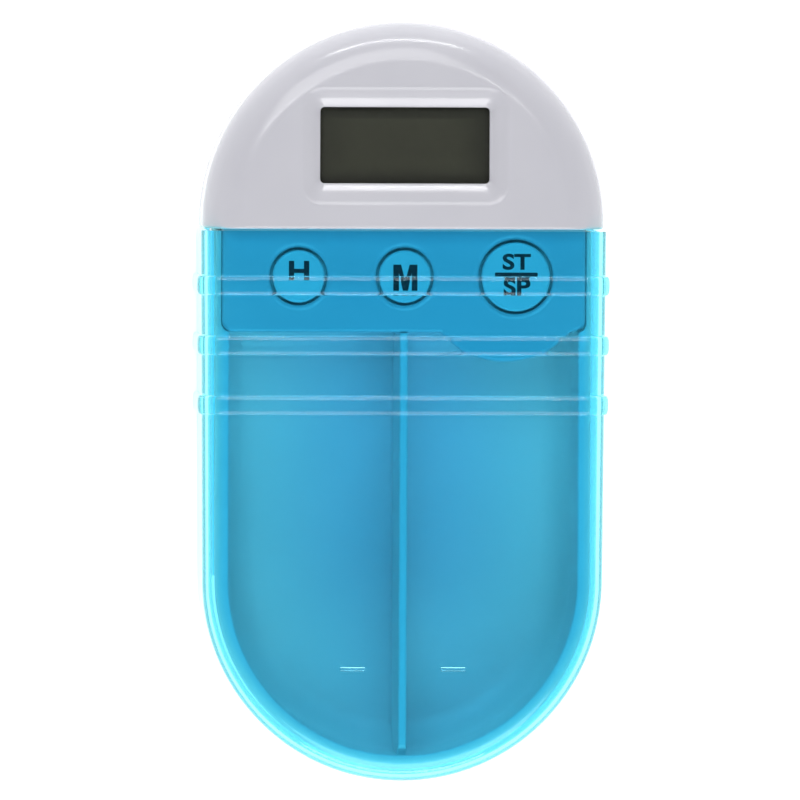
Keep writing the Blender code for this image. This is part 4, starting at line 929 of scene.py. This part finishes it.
def panel_ring(inset, z):
    """The panel's outline, moved inward by inset."""
    half, edge, radius = PANEL_HALF + 0.2 - inset, PANEL_EDGE + inset, BOSS_R - inset
    left, right = 1.6 - 0.6 * inset, 1.0 - 0.4 * inset
    meets = degrees(asin((BOSS[1] - edge) / radius))
    points = [(-half, PANEL_END)]
    points += arc(-half + left, edge + left, left, 180, 270, 6)
    points += arc(*BOSS, radius, meets - 180, -meets, 64)
    points += arc(half - right, edge + CORNER_DROP + right, right, -90, 0, 6)
    return at_height(points + [(half, PANEL_END)], z)


rings = [panel_ring(0.0, PANEL_BACK), panel_ring(0.0, PANEL_FRONT - PANEL_ROUND)]
rings += [panel_ring(inset, PANEL_FRONT - drop) for inset, drop in round_edge(PANEL_ROUND, 6, 1)]
add(front, loft("key panel", rings))
cut(front, block("portal", (-PORTAL_HALF, 23.0, 0), (PORTAL_HALF, 28.0, PANEL_BACK)))
add(front, block(
    "window pad", (-PAD_X, DISPLAY_Y - PAD_Y, 17.0), (PAD_X, DISPLAY_Y + PAD_Y, ceiling + 0.4)))
print("with the panel", open_edges(front), "open edges")

# %% [markdown]
# The frame round the display is a stack of rounded rectangles: straight through the wall, round the
# lip, then up the slope to the face. The key holes are turned, with a rounded mouth. The slope
# could be one flat bevel, but on the real head it turns softly into the face.

# %% Cut the display frame and the key holes
VIEW_W, VIEW_H, VIEW_CORNER = 24.5, 11.0, 0.6
SLOPE_X, SLOPE_Y, SLOPE_LOW, SLOPE_CORNER = 2.95, 3.15, 18.5, 2.4
SLOPE_CURVE = ((0.30, 0.28), (0.5, 0.53), (0.68, 0.75), (0.8, 0.885), (0.88, 0.955), (0.95, 0.99),
               (1.0, 1.0), (1.05, 1.008), (1.05, 5 / 3))
LIP, MOUTH_WIDE, MOUTH_DEEP = 0.3, 0.9, 0.5


def frame_ring(out_x, out_y, corner, z):
    outline = rounded_rectangle(VIEW_W + 2 * out_x, VIEW_H + 2 * out_y, corner, 0, DISPLAY_Y)
    return at_height(outline, z)


rings = [frame_ring(0, 0, VIEW_CORNER, 15.0)]
rings += [
    frame_ring(out, out, VIEW_CORNER + out, SLOPE_LOW - 0.12 - drop)
    for out, drop in round_edge(LIP, 4)
]
rings += [
    frame_ring(SLOPE_X * share, SLOPE_Y * share, VIEW_CORNER + SLOPE_CORNER * share,
               SLOPE_LOW + (HEAD_TOP - SLOPE_LOW) * rise)
    for share, rise in SLOPE_CURVE
]
cut(front, loft("display frame", rings))
cut(front, block(
    "window pocket", (-14.0, DISPLAY_Y - 7.3, 14.0), (14.0, DISPLAY_Y + 7.3, 17.7)))
for name, (x, cap, hole) in KEYS.items():
    mouth = [
        (hole + MOUTH_WIDE * (1 - cos(t)), PANEL_FRONT - MOUTH_DEEP * (1 - sin(t)))
        for t in quarter_turns(6)
    ]
    wide = hole + MOUTH_WIDE + 0.05
    profile = [(0, 15.0), (hole, 15.0)] + mouth + [(wide, PANEL_FRONT + 0.004), (wide, 18.5)]
    cut(front, lathe(name + " hole", (x, KEY_Y), profile + [(0, 18.5)], 96))
print("holes cut, open edges", open_edges(front))

# %% [markdown]
# Round bosses stand on the inside of the front for the screws to bite into. Each gets the bore that
# its screw needs. They could be part of the shell's profile only if they lay on its axis, so they
# are joined.

# %% Add the screw bosses
CASE_SCREWS = ((-19.0, 40.1), (19.0, 40.1), (-7.7, 14.7))
BOARD_SCREWS = ((-19.8, 29.8), (19.8, 29.8))


def node_box(name):
    """Lowest and highest corner of a solid, in millimetres."""
    return [[v / MM for v in corner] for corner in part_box(name)]


def tube(name, spot, low, high, radius, steps):
    return lathe(name, spot, [(0, low), (radius, low), (radius, high), (0, high)], steps)


for kind, spots, start_z, wide, bore_r in (
    ("case_screw", CASE_SCREWS, 6.3, 2.5, 1.4), ("board_screw", BOARD_SCREWS, 9.5, 2.2, 1.2),
):
    for number, spot in enumerate(spots, 1):
        tip = node_box(f"{kind}_{number}")[1][2] + 0.3
        roof = (PANEL_BACK if spot[1] < HEAD_FACE else ceiling) + 0.2
        add(front, tube("boss", spot, start_z, roof, wide, 32))
        cut(front, tube("bore", spot, 0, tip, bore_r, 32))
finish_piece(front, "case", WHITE, "white_abs", "front_case", smooth=CASE_SMOOTH)

# %% [markdown]
# ## Window and display
# A thin clear plate sits in the frame. Behind it lies the dark grey glass of the display, which is
# off: an olive tone with darker bands towards its edges. A picture of a display could be used, but
# four bands read from the place in the object are enough.

# %% Make the window and paint the display
CHAMFER = 0.1


def chamfered(low, high):
    return (CHAMFER, low), (0.0, low + CHAMFER), (0.0, high - CHAMFER), (CHAMFER, high)


window = plate("display_window_plate", 27.5, 14.0, 0.6, (0, DISPLAY_Y), chamfered(16.9, 17.6))
finish_piece(window, "case", CLEAR, "clear_window", "display_window", smooth=20)


def display_glass():
    """Olive grey that darkens in bands towards its four edges."""
    material, tree, shader = new_material("Dark display glass")
    place = add_node(tree, "ShaderNodeSeparateXYZ", {0: object_place(tree)}).outputs
    dark = 0.0
    for axis, start, finish, strength in (
        ("Y", DISPLAY_Y + 3.6, DISPLAY_Y + 4.2, 0.55), ("X", 7.0, 12.5, 0.6),
        ("Y", DISPLAY_Y - 2.5, DISPLAY_Y - 5.6, 0.65), ("X", -6.0, -12.5, 0.35),
    ):
        band = between(tree, place[axis], start * MM, finish * MM, kind="SMOOTHSTEP")
        dark = maths(tree, "MAXIMUM", dark, maths(tree, "MULTIPLY", band, strength))
    cloud = maths(tree, "MULTIPLY", object_noise(tree, 90.0, 2.0), 0.22)
    tone = ramp(tree, maths(tree, "ADD", dark, cloud),
                (0.0, (0.041, 0.042, 0.028)), (1.0, (0.012, 0.013, 0.009)))
    plain_finish(tree, shader, tone, 0.3, 1200.0, 0.1, 0.002)
    return material


low, high = node_box("lcd_glass")
glass = plate(
    "lcd_glass_plate", high[0] - low[0], high[1] - low[1], 0.3,
    ((low[0] + high[0]) / 2, (low[1] + high[1]) / 2), chamfered(low[2], high[2]))
finish_piece(glass, "case", display_glass(), "display", "lcd_glass", smooth=20)

# %% [markdown]
# ## Keys and their markings
# Each key is turned: a flat cap with a round edge, a flange that keeps it in, and a stem. A
# cylinder with a Bevel would make the cap only. Turning one profile gives all three as one closed
# form.

# %% Turn the keys
CAP_TOP, CAP_ROUND = 17.5, 0.4
STEM, STEM_TOP, FLANGE_TOP = 2.0, 14.3, 15.3
for name, (x, cap, hole) in KEYS.items():
    low, high = node_box(name + "_button")
    flange = (high[0] - low[0]) / 2
    profile = [
        (0, low[2]), (STEM - 0.2, low[2]), (STEM, low[2] + 0.2), (STEM, STEM_TOP),
        (flange - CHAMFER, STEM_TOP), (flange, STEM_TOP + CHAMFER),
        (flange, FLANGE_TOP - CHAMFER), (flange - CHAMFER, FLANGE_TOP), (cap, FLANGE_TOP),
    ]
    profile += arc(cap - CAP_ROUND, CAP_TOP - CAP_ROUND, CAP_ROUND, 0, 90)
    key = lathe(name + "_cap", (x, KEY_Y), profile + [(0, CAP_TOP)], 96)
    finish_piece(key, name + "_key", KEY_WHITE, "key_plastic", name + "_button", smooth=35)

# %% [markdown]
# The markings are thin printed letters that ride on their key. Most are text from Blender's own
# font, fitted to a width and a height. M is drawn as an outline, because its strokes are bolder.
# All of them could be painted on as a texture, but a thin layer keeps its edges sharp and moves
# with the key.

# %% Print the markings
PRINT_Z, INK_HALF = CAP_TOP + 0.005, 0.015
INK_LEVELS = ((0, PRINT_Z - INK_HALF), (0, PRINT_Z + INK_HALF))


def print_on(made, body):
    finish_piece(made, body, INK, "black_plastic", smooth=0)


def fitted(values, centre, size):
    low, high = min(values), max(values)
    return [centre + (value - (low + high) / 2) * size / (high - low) for value in values]


def letters(name, text, body, x, y, width, height, weight):
    """Letters as a thin closed mesh, fitted to a width and a height in millimetres."""
    curve = bpy.data.curves.new(name, "FONT")
    curve.body = text
    curve.offset = weight
    curve.extrude = 0.1
    curve.resolution_u = 6
    words = bpy.data.objects.new(name, curve)
    scene.collection.objects.link(words)
    bpy.context.view_layer.update()
    mesh = bpy.data.meshes.new_from_object(
        words.evaluated_get(bpy.context.evaluated_depsgraph_get()))
    bpy.data.objects.remove(words)
    bm = bmesh.new()
    bm.from_mesh(mesh)
    bpy.data.meshes.remove(mesh)
    xs = fitted([vert.co.x for vert in bm.verts], x, width)
    ys = fitted([vert.co.y for vert in bm.verts], y, height)
    zs = fitted([vert.co.z for vert in bm.verts], PRINT_Z, 2 * INK_HALF)
    for vert, place in zip(bm.verts, zip(xs, ys, zs)):
        vert.co = place
    print_on(new_object(name, bm), body)


letters("hour_letter", "H", "hour_key", -15.25, KEY_Y + 0.8, 2.95, 2.9, 0.035)
TALL, WIDE, STROKE = 1.85, 1.75, 0.82
half_m = [(0.38, -TALL), (WIDE - STROKE, 0.62), (WIDE - STROKE, -TALL), (WIDE, -TALL),
          (WIDE, TALL), (0.62, TALL)]
outline = half_m + [(0.0, -0.55)] + [(-x, y) for x, y in reversed(half_m)]
letter = loft("minute_letter", [
    at_height([(x + 0.15, y + KEY_Y - 0.1) for x, y in outline], z) for c, z in INK_LEVELS
])
print_on(letter, "minute_key")
letters("start_letters", "ST", "start_stop_key", 16.3, KEY_Y + 2.2, 4.1, 2.35, 0.03)
letters("stop_letters", "SP", "start_stop_key", 16.35, KEY_Y - 1.42, 3.9, 2.2, 0.03)
print_on(plate("key_bar", 6.2, 0.6, 0.1, (16.25, KEY_Y + 0.34), INK_LEVELS), "start_stop_key")

# %% [markdown]
# ## The tray
# The tray is drawn as a U outline at several heights, so its back edge and its rim are round. The
# back of the head is half a round form again, hollowed like the front and joined on. A bevelled
# box would need a second step for its round far end.

# %% Shape the tray
BACK_EDGE, RIM_EDGE, NECK_HALF = 0.8, 1.35, 26.4
OPEN_TOP = PARTING_BACK + 2


def u_outline(half, top):
    """Straight sides down from top and a round far end."""
    return [(-half, top)] + arc(0, COVER_Y, half, -180, 0, 96) + [(half, top)]


levels = [(drop, inset) for inset, drop in round_edge(BACK_EDGE, 6)]
levels += [(inset, TRAY_RIM - drop) for inset, drop in round_edge(RIM_EDGE, 10)]
tray = loft("rear_case_tray", [
    at_height(u_outline(TRAY_HALF - inset, COVER_MOUTH), z) for inset, z in levels
])
outer = [(0.0, 0.0)] + arc(HEAD_R - BACK_ROUND, BACK_ROUND, BACK_ROUND, -90, 0, 14)
back = half_round("back of the head", outer + [(HEAD_R, PARTING_BACK), (0.0, PARTING_BACK)])
bevel_edges(back, 0.3, 3, HEAD_FACE, lambda heights: min(heights) < PARTING_BACK - 0.1)
add(back, block("neck", (-NECK_HALF, 23.0, 0.0), (NECK_HALF, 27.5, PARTING_BACK)))
bend = BACK_ROUND - WALL
inner = [(0.0, TRAY_FLOOR)] + arc(HEAD_R - BACK_ROUND, TRAY_FLOOR + bend, bend, -90, 0, 10)
hollow_out(back, inner + [(HEAD_R - WALL, OPEN_TOP), (0.0, OPEN_TOP)])
add(tray, back)
print("tray with the back of the head, open edges", open_edges(tray))

# %% [markdown]
# One tool cuts both pockets. The divider and the round wall of the cell well are taken out of that
# tool first, so they stay standing in the tray. Then the room behind the keys and the ledge for
# the panel are cut.

# %% Cut the pockets
BULKHEAD, ROOM_START, LEDGE, ABOVE = 10.2, 11.8, 15.3, 19.6
POCKET_ROUND, POCKET_LIP, WELL_R = 4.5, 0.35, 12.4
DIVIDER_HALF, DIVIDER_TOP, DIVIDER_FOOT, DIVIDER_ROUND = 0.6, 17.3, 0.5, 0.4
DIVIDER_END, LOW_TOP = -50.1, 15.6
REBATE_HALF, REBATE_START, REBATE_CORNER = PANEL_HALF + 0.27, 10.03, 1.5

levels = [(-drop, -drop, TRAY_FLOOR + inset) for inset, drop in round_edge(POCKET_ROUND, 12)]
levels += [(inset, 0.0, TRAY_RIM - drop) for inset, drop in round_edge(POCKET_LIP, 5)]
pocket = loft("pockets", [
    at_height(u_outline(POCKET_HALF + wider, BULKHEAD + higher), z)
    for wider, higher, z in levels + [(POCKET_LIP, 0.0, TRAY_RIM + 2)]
])
side = [(DIVIDER_HALF + DIVIDER_FOOT, 0.0)]
side += [(DIVIDER_HALF + drop, TRAY_FLOOR + inset) for inset, drop in round_edge(DIVIDER_FOOT, 5)]
side += [(DIVIDER_HALF - inset, DIVIDER_TOP - drop) for inset, drop in round_edge(DIVIDER_ROUND, 5)]
section = [(-half, z) for half, z in side] + list(reversed(side))
divider = loft("divider", [
    across([(x, min(z, top)) for x, z in section], y)
    for y, top in ((-60.0, LOW_TOP), (DIVIDER_END - 0.5, LOW_TOP), (DIVIDER_END - 0.1, 16.9),
                   (DIVIDER_END + 0.4, DIVIDER_TOP), (BULKHEAD + 2, DIVIDER_TOP))
])
cut(pocket, divider)
cut(pocket, tube("well wall", BOSS, 0.0, LEDGE, WELL_R, 96))
cut(tray, pocket)
for tool in (
    block("key room", (-POCKET_HALF, ROOM_START, TRAY_FLOOR), (POCKET_HALF, 28.9, ABOVE)),
    plate("rebate", 2 * REBATE_HALF, 10, REBATE_CORNER, (0, REBATE_START + 5),
          ((0, LEDGE), (0, ABOVE))),
    block("rest of rebate", (-REBATE_HALF, 12.0, LEDGE), (REBATE_HALF, 26.8, ABOVE)),
):
    cut(tray, tool)
print("pockets cut, open edges", open_edges(tray))

# %% [markdown]
# Inside stand the cell well, a pillar for each case screw and the buzzer's ring-shaped seat.
# Outside, two rails guide the cover's lips, and a nub at the far end is the latch. All of them are
# simple forms joined one by one, because each join can then be checked.

# %% Add the cell well, pillars, buzzer seat and guides
CELL_TOP, SEAT_FOOT, PILLAR_R, PILLAR_TOP = 6.4, 1.1, 3.4, 6.0
BUZZER = (0.0, 40.1)
add(tray, lathe("cell well", BOSS, [
    (0, SEAT_FOOT), (WELL_R, SEAT_FOOT), (WELL_R, CELL_TOP - 0.3), (WELL_R - 0.3, CELL_TOP),
    (0, CELL_TOP)], 96))
for spot in CASE_SCREWS:
    add(tray, tube("pillar", spot, SEAT_FOOT, PILLAR_TOP, PILLAR_R, 48))
add(tray, lathe("buzzer seat", BUZZER, [
    (9.3, SEAT_FOOT), (11.4, SEAT_FOOT), (11.4, 4.2), (10.3, 4.2), (10.3, 3.1), (9.3, 3.1)],
    96, closed=True))
for side in (-1, 1):
    left, right = sorted((side * (TRAY_HALF - 0.6), side * (TRAY_HALF + 0.55)))
    add(tray, block("guide", (left, COVER_Y, 2.1), (right, 24.5, 3.1)))
add(tray, loft("nub", [
    across(rounded_rectangle(7.0 - 2 * c, 3.0 - 2 * c, 0.8, 0.0, 4.0), y)
    for c, y in ((0.0, -51.5), (0.0, -53.75), (0.3, -54.05))
]))
print("joined, open edges", open_edges(tray))

# %% [markdown]
# From the back come the cell's room with the door's seat, the stepped screw bores and, for each
# lug of the door, an entry and a track that the lug turns into. The track could be a full groove,
# but a slice of a ring stops the lug at the end of its turn.

# %% Cut the bores and the door's seat
def sector(name, inner, outer, start, finish, low, high):
    """A slice of a ring round the cell well, between two angles in degrees."""
    outline = arc(*BOSS, outer, start, finish, 24) + arc(*BOSS, inner, finish, start, 24)
    return prism(name, outline, low, high)


cut(tray, lathe("cell room", BOSS, [
    (0, -1), (11.5, -1), (11.5, 0), (11.2, 0.3), (11.2, 2.0), (10.3, 2.0), (10.3, 3.4),
    (10.8, 3.4), (10.8, 19), (0, 19)], 96))
for spot in CASE_SCREWS:
    cut(tray, lathe("screw bore", spot, [
        (0, -1), (2.6, -1), (2.6, 0), (2.4, 0.2), (2.4, 2.7), (1.4, 2.7), (1.4, 8), (0, 8)], 48))
LUGS = (90, 270)
for angle in LUGS:
    cut(tray, sector("lug track", 10.4, 11.9, angle - 15.6, angle + 50.7, 0.7, 1.999),
            sector("lug entry", 10.6, 11.85, angle + 19.5, angle + 50.5, -1.0, 1.2))
cut(tray, block(
    "contact slot", (BOSS[0] - 2.2, BOSS[1] + 10.0, 3.401), (BOSS[0] + 2.2, BOSS[1] + 13.0, 7.0)))
print("bores cut, open edges", open_edges(tray))

# %% [markdown]
# ## Repeats by Geometry Nodes
# One tree puts copies of a form on the vertices of a mesh and turns each copy by its own step. It
# makes the ring of sound holes, which is then cut out of the back, and the rows of screws. An
# Array modifier would do for a straight row, but not for a ring or for screws at free places.

# %% Build the repeating tree
repeat, given, end = node_group("Copies on points", [
    ("Form", "NodeSocketObject", None), ("Turn step", NUMBER, 0.0), ("First turn", NUMBER, 0.0),
    ("Scale", NUMBER, 1.0), ("Material", MATERIAL, None),
])
form = add_node(repeat, "GeometryNodeObjectInfo", {"Object": given["Form"]})
index = add_node(repeat, "GeometryNodeInputIndex").outputs[0]
angle = maths(repeat, "MULTIPLY", index, given["Turn step"])
about = add_node(repeat, "ShaderNodeCombineXYZ", {
    "Z": maths(repeat, "ADD", angle, given["First turn"])})
copies = add_node(repeat, "GeometryNodeInstanceOnPoints", {
    "Points": given["Geometry"], "Instance": form.outputs["Geometry"],
    "Rotation": about.outputs[0], "Scale": given["Scale"],
})
end_tree(repeat, copies.outputs["Instances"], given["Material"], end)


def copies_of(name, form, places, material, turn_step=0.0, first_turn=0.0):
    """Copies of form at places in millimetres, as one plain mesh. The form itself is dropped."""
    bm = bmesh.new()
    for place in places:
        bm.verts.new(place)
    made = grow(new_object(name, bm), repeat, Form=form, Turn_step=turn_step,
                First_turn=first_turn, Scale=1.0, Material=material)
    bpy.data.objects.remove(form)
    return made


HOLE_R, HOLE_MOUTH, HOLE_RING = 0.7, 1.0, 4.0
hole = lathe("hole", (0, 0), [
    (0, -1), (HOLE_MOUTH, -1), (HOLE_MOUTH, 0), (HOLE_R, 0.3), (HOLE_R, 3.0), (0, 3.0)], 32)
ring = [BUZZER] + arc(*BUZZER, HOLE_RING, 45, 315, 3)
cut(tray, copies_of("sound holes", hole, at_height(ring, 0.0), WHITE_BACK))
finish_piece(tray, "case", WHITE_BACK, "white_abs_back", "rear_case", smooth=CASE_SMOOTH)

# %% [markdown]
# A screw is turned from its head to its tip, with ridges for the thread. Two crossed blocks cut
# the recess. Each copy is turned a little further, because no two screws stop at the same angle. A
# true helix would cost many faces that stay hidden in the bosses.

# %% Make the screws
HEAD_EDGE, CORE, PITCH = 0.35, 0.8, 0.75
RECESS_LONG, RECESS_WIDE, RECESS_DEEP = 0.62, 0.16, 0.8


def screw_form(head_r, head_low, head_high, shank_r, tip):
    """A pan-headed screw with a cross recess and a thread drawn as turned ridges."""
    core = shank_r * CORE
    profile = [(0, head_low + 0.06), (head_r * 0.45, head_low + 0.02)]
    profile += [
        (head_r - inset, head_low + drop) for inset, drop in reversed(round_edge(HEAD_EDGE, 5))
    ]
    profile += [(head_r, head_high), (core, head_high)]
    z = head_high + 0.3
    while z + PITCH < tip - shank_r:
        profile += [(core, z), (shank_r, z + PITCH * 0.3), (core, z + PITCH * 0.6)]
        z += PITCH
    made = lathe("screw form", (0, 0), profile + [(core, tip - shank_r), (0, tip)], 40)
    long, wide = RECESS_LONG * head_r, RECESS_WIDE * head_r
    for x, y in ((long, wide), (wide, long)):
        recess = block("recess", (-x, -y, -1), (x, y, head_low + RECESS_DEEP))
        cut(made, recess)
    return made


for kind, spots, head, shank in (
    ("case_screw", CASE_SCREWS, 1.5, 1.1), ("board_screw", BOARD_SCREWS, 1.1, 0.9),
):
    names = [f"{kind}_{number}" for number in range(1, len(spots) + 1)]
    low, high = node_box(names[0])
    form = screw_form((high[0] - low[0]) / 2, low[2], low[2] + head, shank, high[2])
    screws = copies_of(kind + "_set", form, at_height(spots, 0.0), SCREW_STEEL, 0.55, 0.3)
    finish_piece(screws, "case", SCREW_STEEL, "screw_steel", *names, smooth=45)

# %% [markdown]
# ## The battery door
# The door is a disc with a round edge, a coin slot with round ends and two bayonet lugs. Two arrows
# bent round the slot show which way it opens. The arrows are cut, not printed, as on a moulded
# door.

# %% Make the door
DOOR_FRONT, LUG_HALF, ARROW_HALF, ARROW_DEEP = 1.7, 12, 16, 0.35
door = lathe("battery_door_disc", BOSS, [
    (0, 0.2), (10.5, 0.2), (10.72, 0.25), (10.86, 0.38), (10.9, 0.55), (10.9, DOOR_FRONT),
    (0, DOOR_FRONT)], 96)
for angle in LUGS:
    add(door, sector("lug", 10.0, 11.6, angle - LUG_HALF, angle + LUG_HALF, 1.0, 1.699))
cut(door, loft("coin slot", [
    at_height(rounded_rectangle(12.0 + 2 * c, 1.8 + 2 * c, 0.89 + c, *BOSS), z)
    for c, z in ((0.15, 0.0), (0.15, 0.1), (0.15, 0.199), (0.04, 0.27), (0.0, 0.4), (0.0, 1.0))
]))
for angle in LUGS:
    turn = radians(angle + ARROW_HALF)
    tip = [
        (BOSS[0] + r * cos(turn + t), BOSS[1] + r * sin(turn + t))
        for r, t in ((7.0, 0.0), (8.6, 0.0), (7.8, 0.16))
    ]
    cut(door, sector("arrow", 7.6, 8.0, angle - ARROW_HALF, angle + ARROW_HALF, 0.0, ARROW_DEEP),
            prism("tip", tip, 0.0, ARROW_DEEP))
finish_piece(door, "battery_door", WHITE_BACK, "white_abs_back", "battery_door",
             smooth=CASE_SMOOTH)

# %% [markdown]
# ## What stays as it was packed
# The inner pieces keep their solids and only get better materials. Finer ones could be made, but
# these are seen only when the cover or the door is off, or not at all.

# %% Paint the inner solids
PAINT = {
    "lcd_frame": FRAME_BLACK, "zebra_strip_upper": STRIPES, "zebra_strip_lower": STRIPES,
    "circuit_board": BOARD, "timer_chip": RESIN, "quartz_crystal": STEEL,
    "hour_dome": SILICONE, "minute_dome": SILICONE, "start_stop_dome": SILICONE,
    "coin_cell": CELL_STEEL, "positive_contact": STEEL, "negative_contact": STEEL,
    "buzzer_disc": BRASS, "buzzer_lead_red": RED_SLEEVE, "buzzer_lead_black": BLACK_SLEEVE,
}
for name, material in PAINT.items():
    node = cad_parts[name]
    for slot in node.material_slots:
        slot.material = material
print("painted", len(PAINT), "solids")
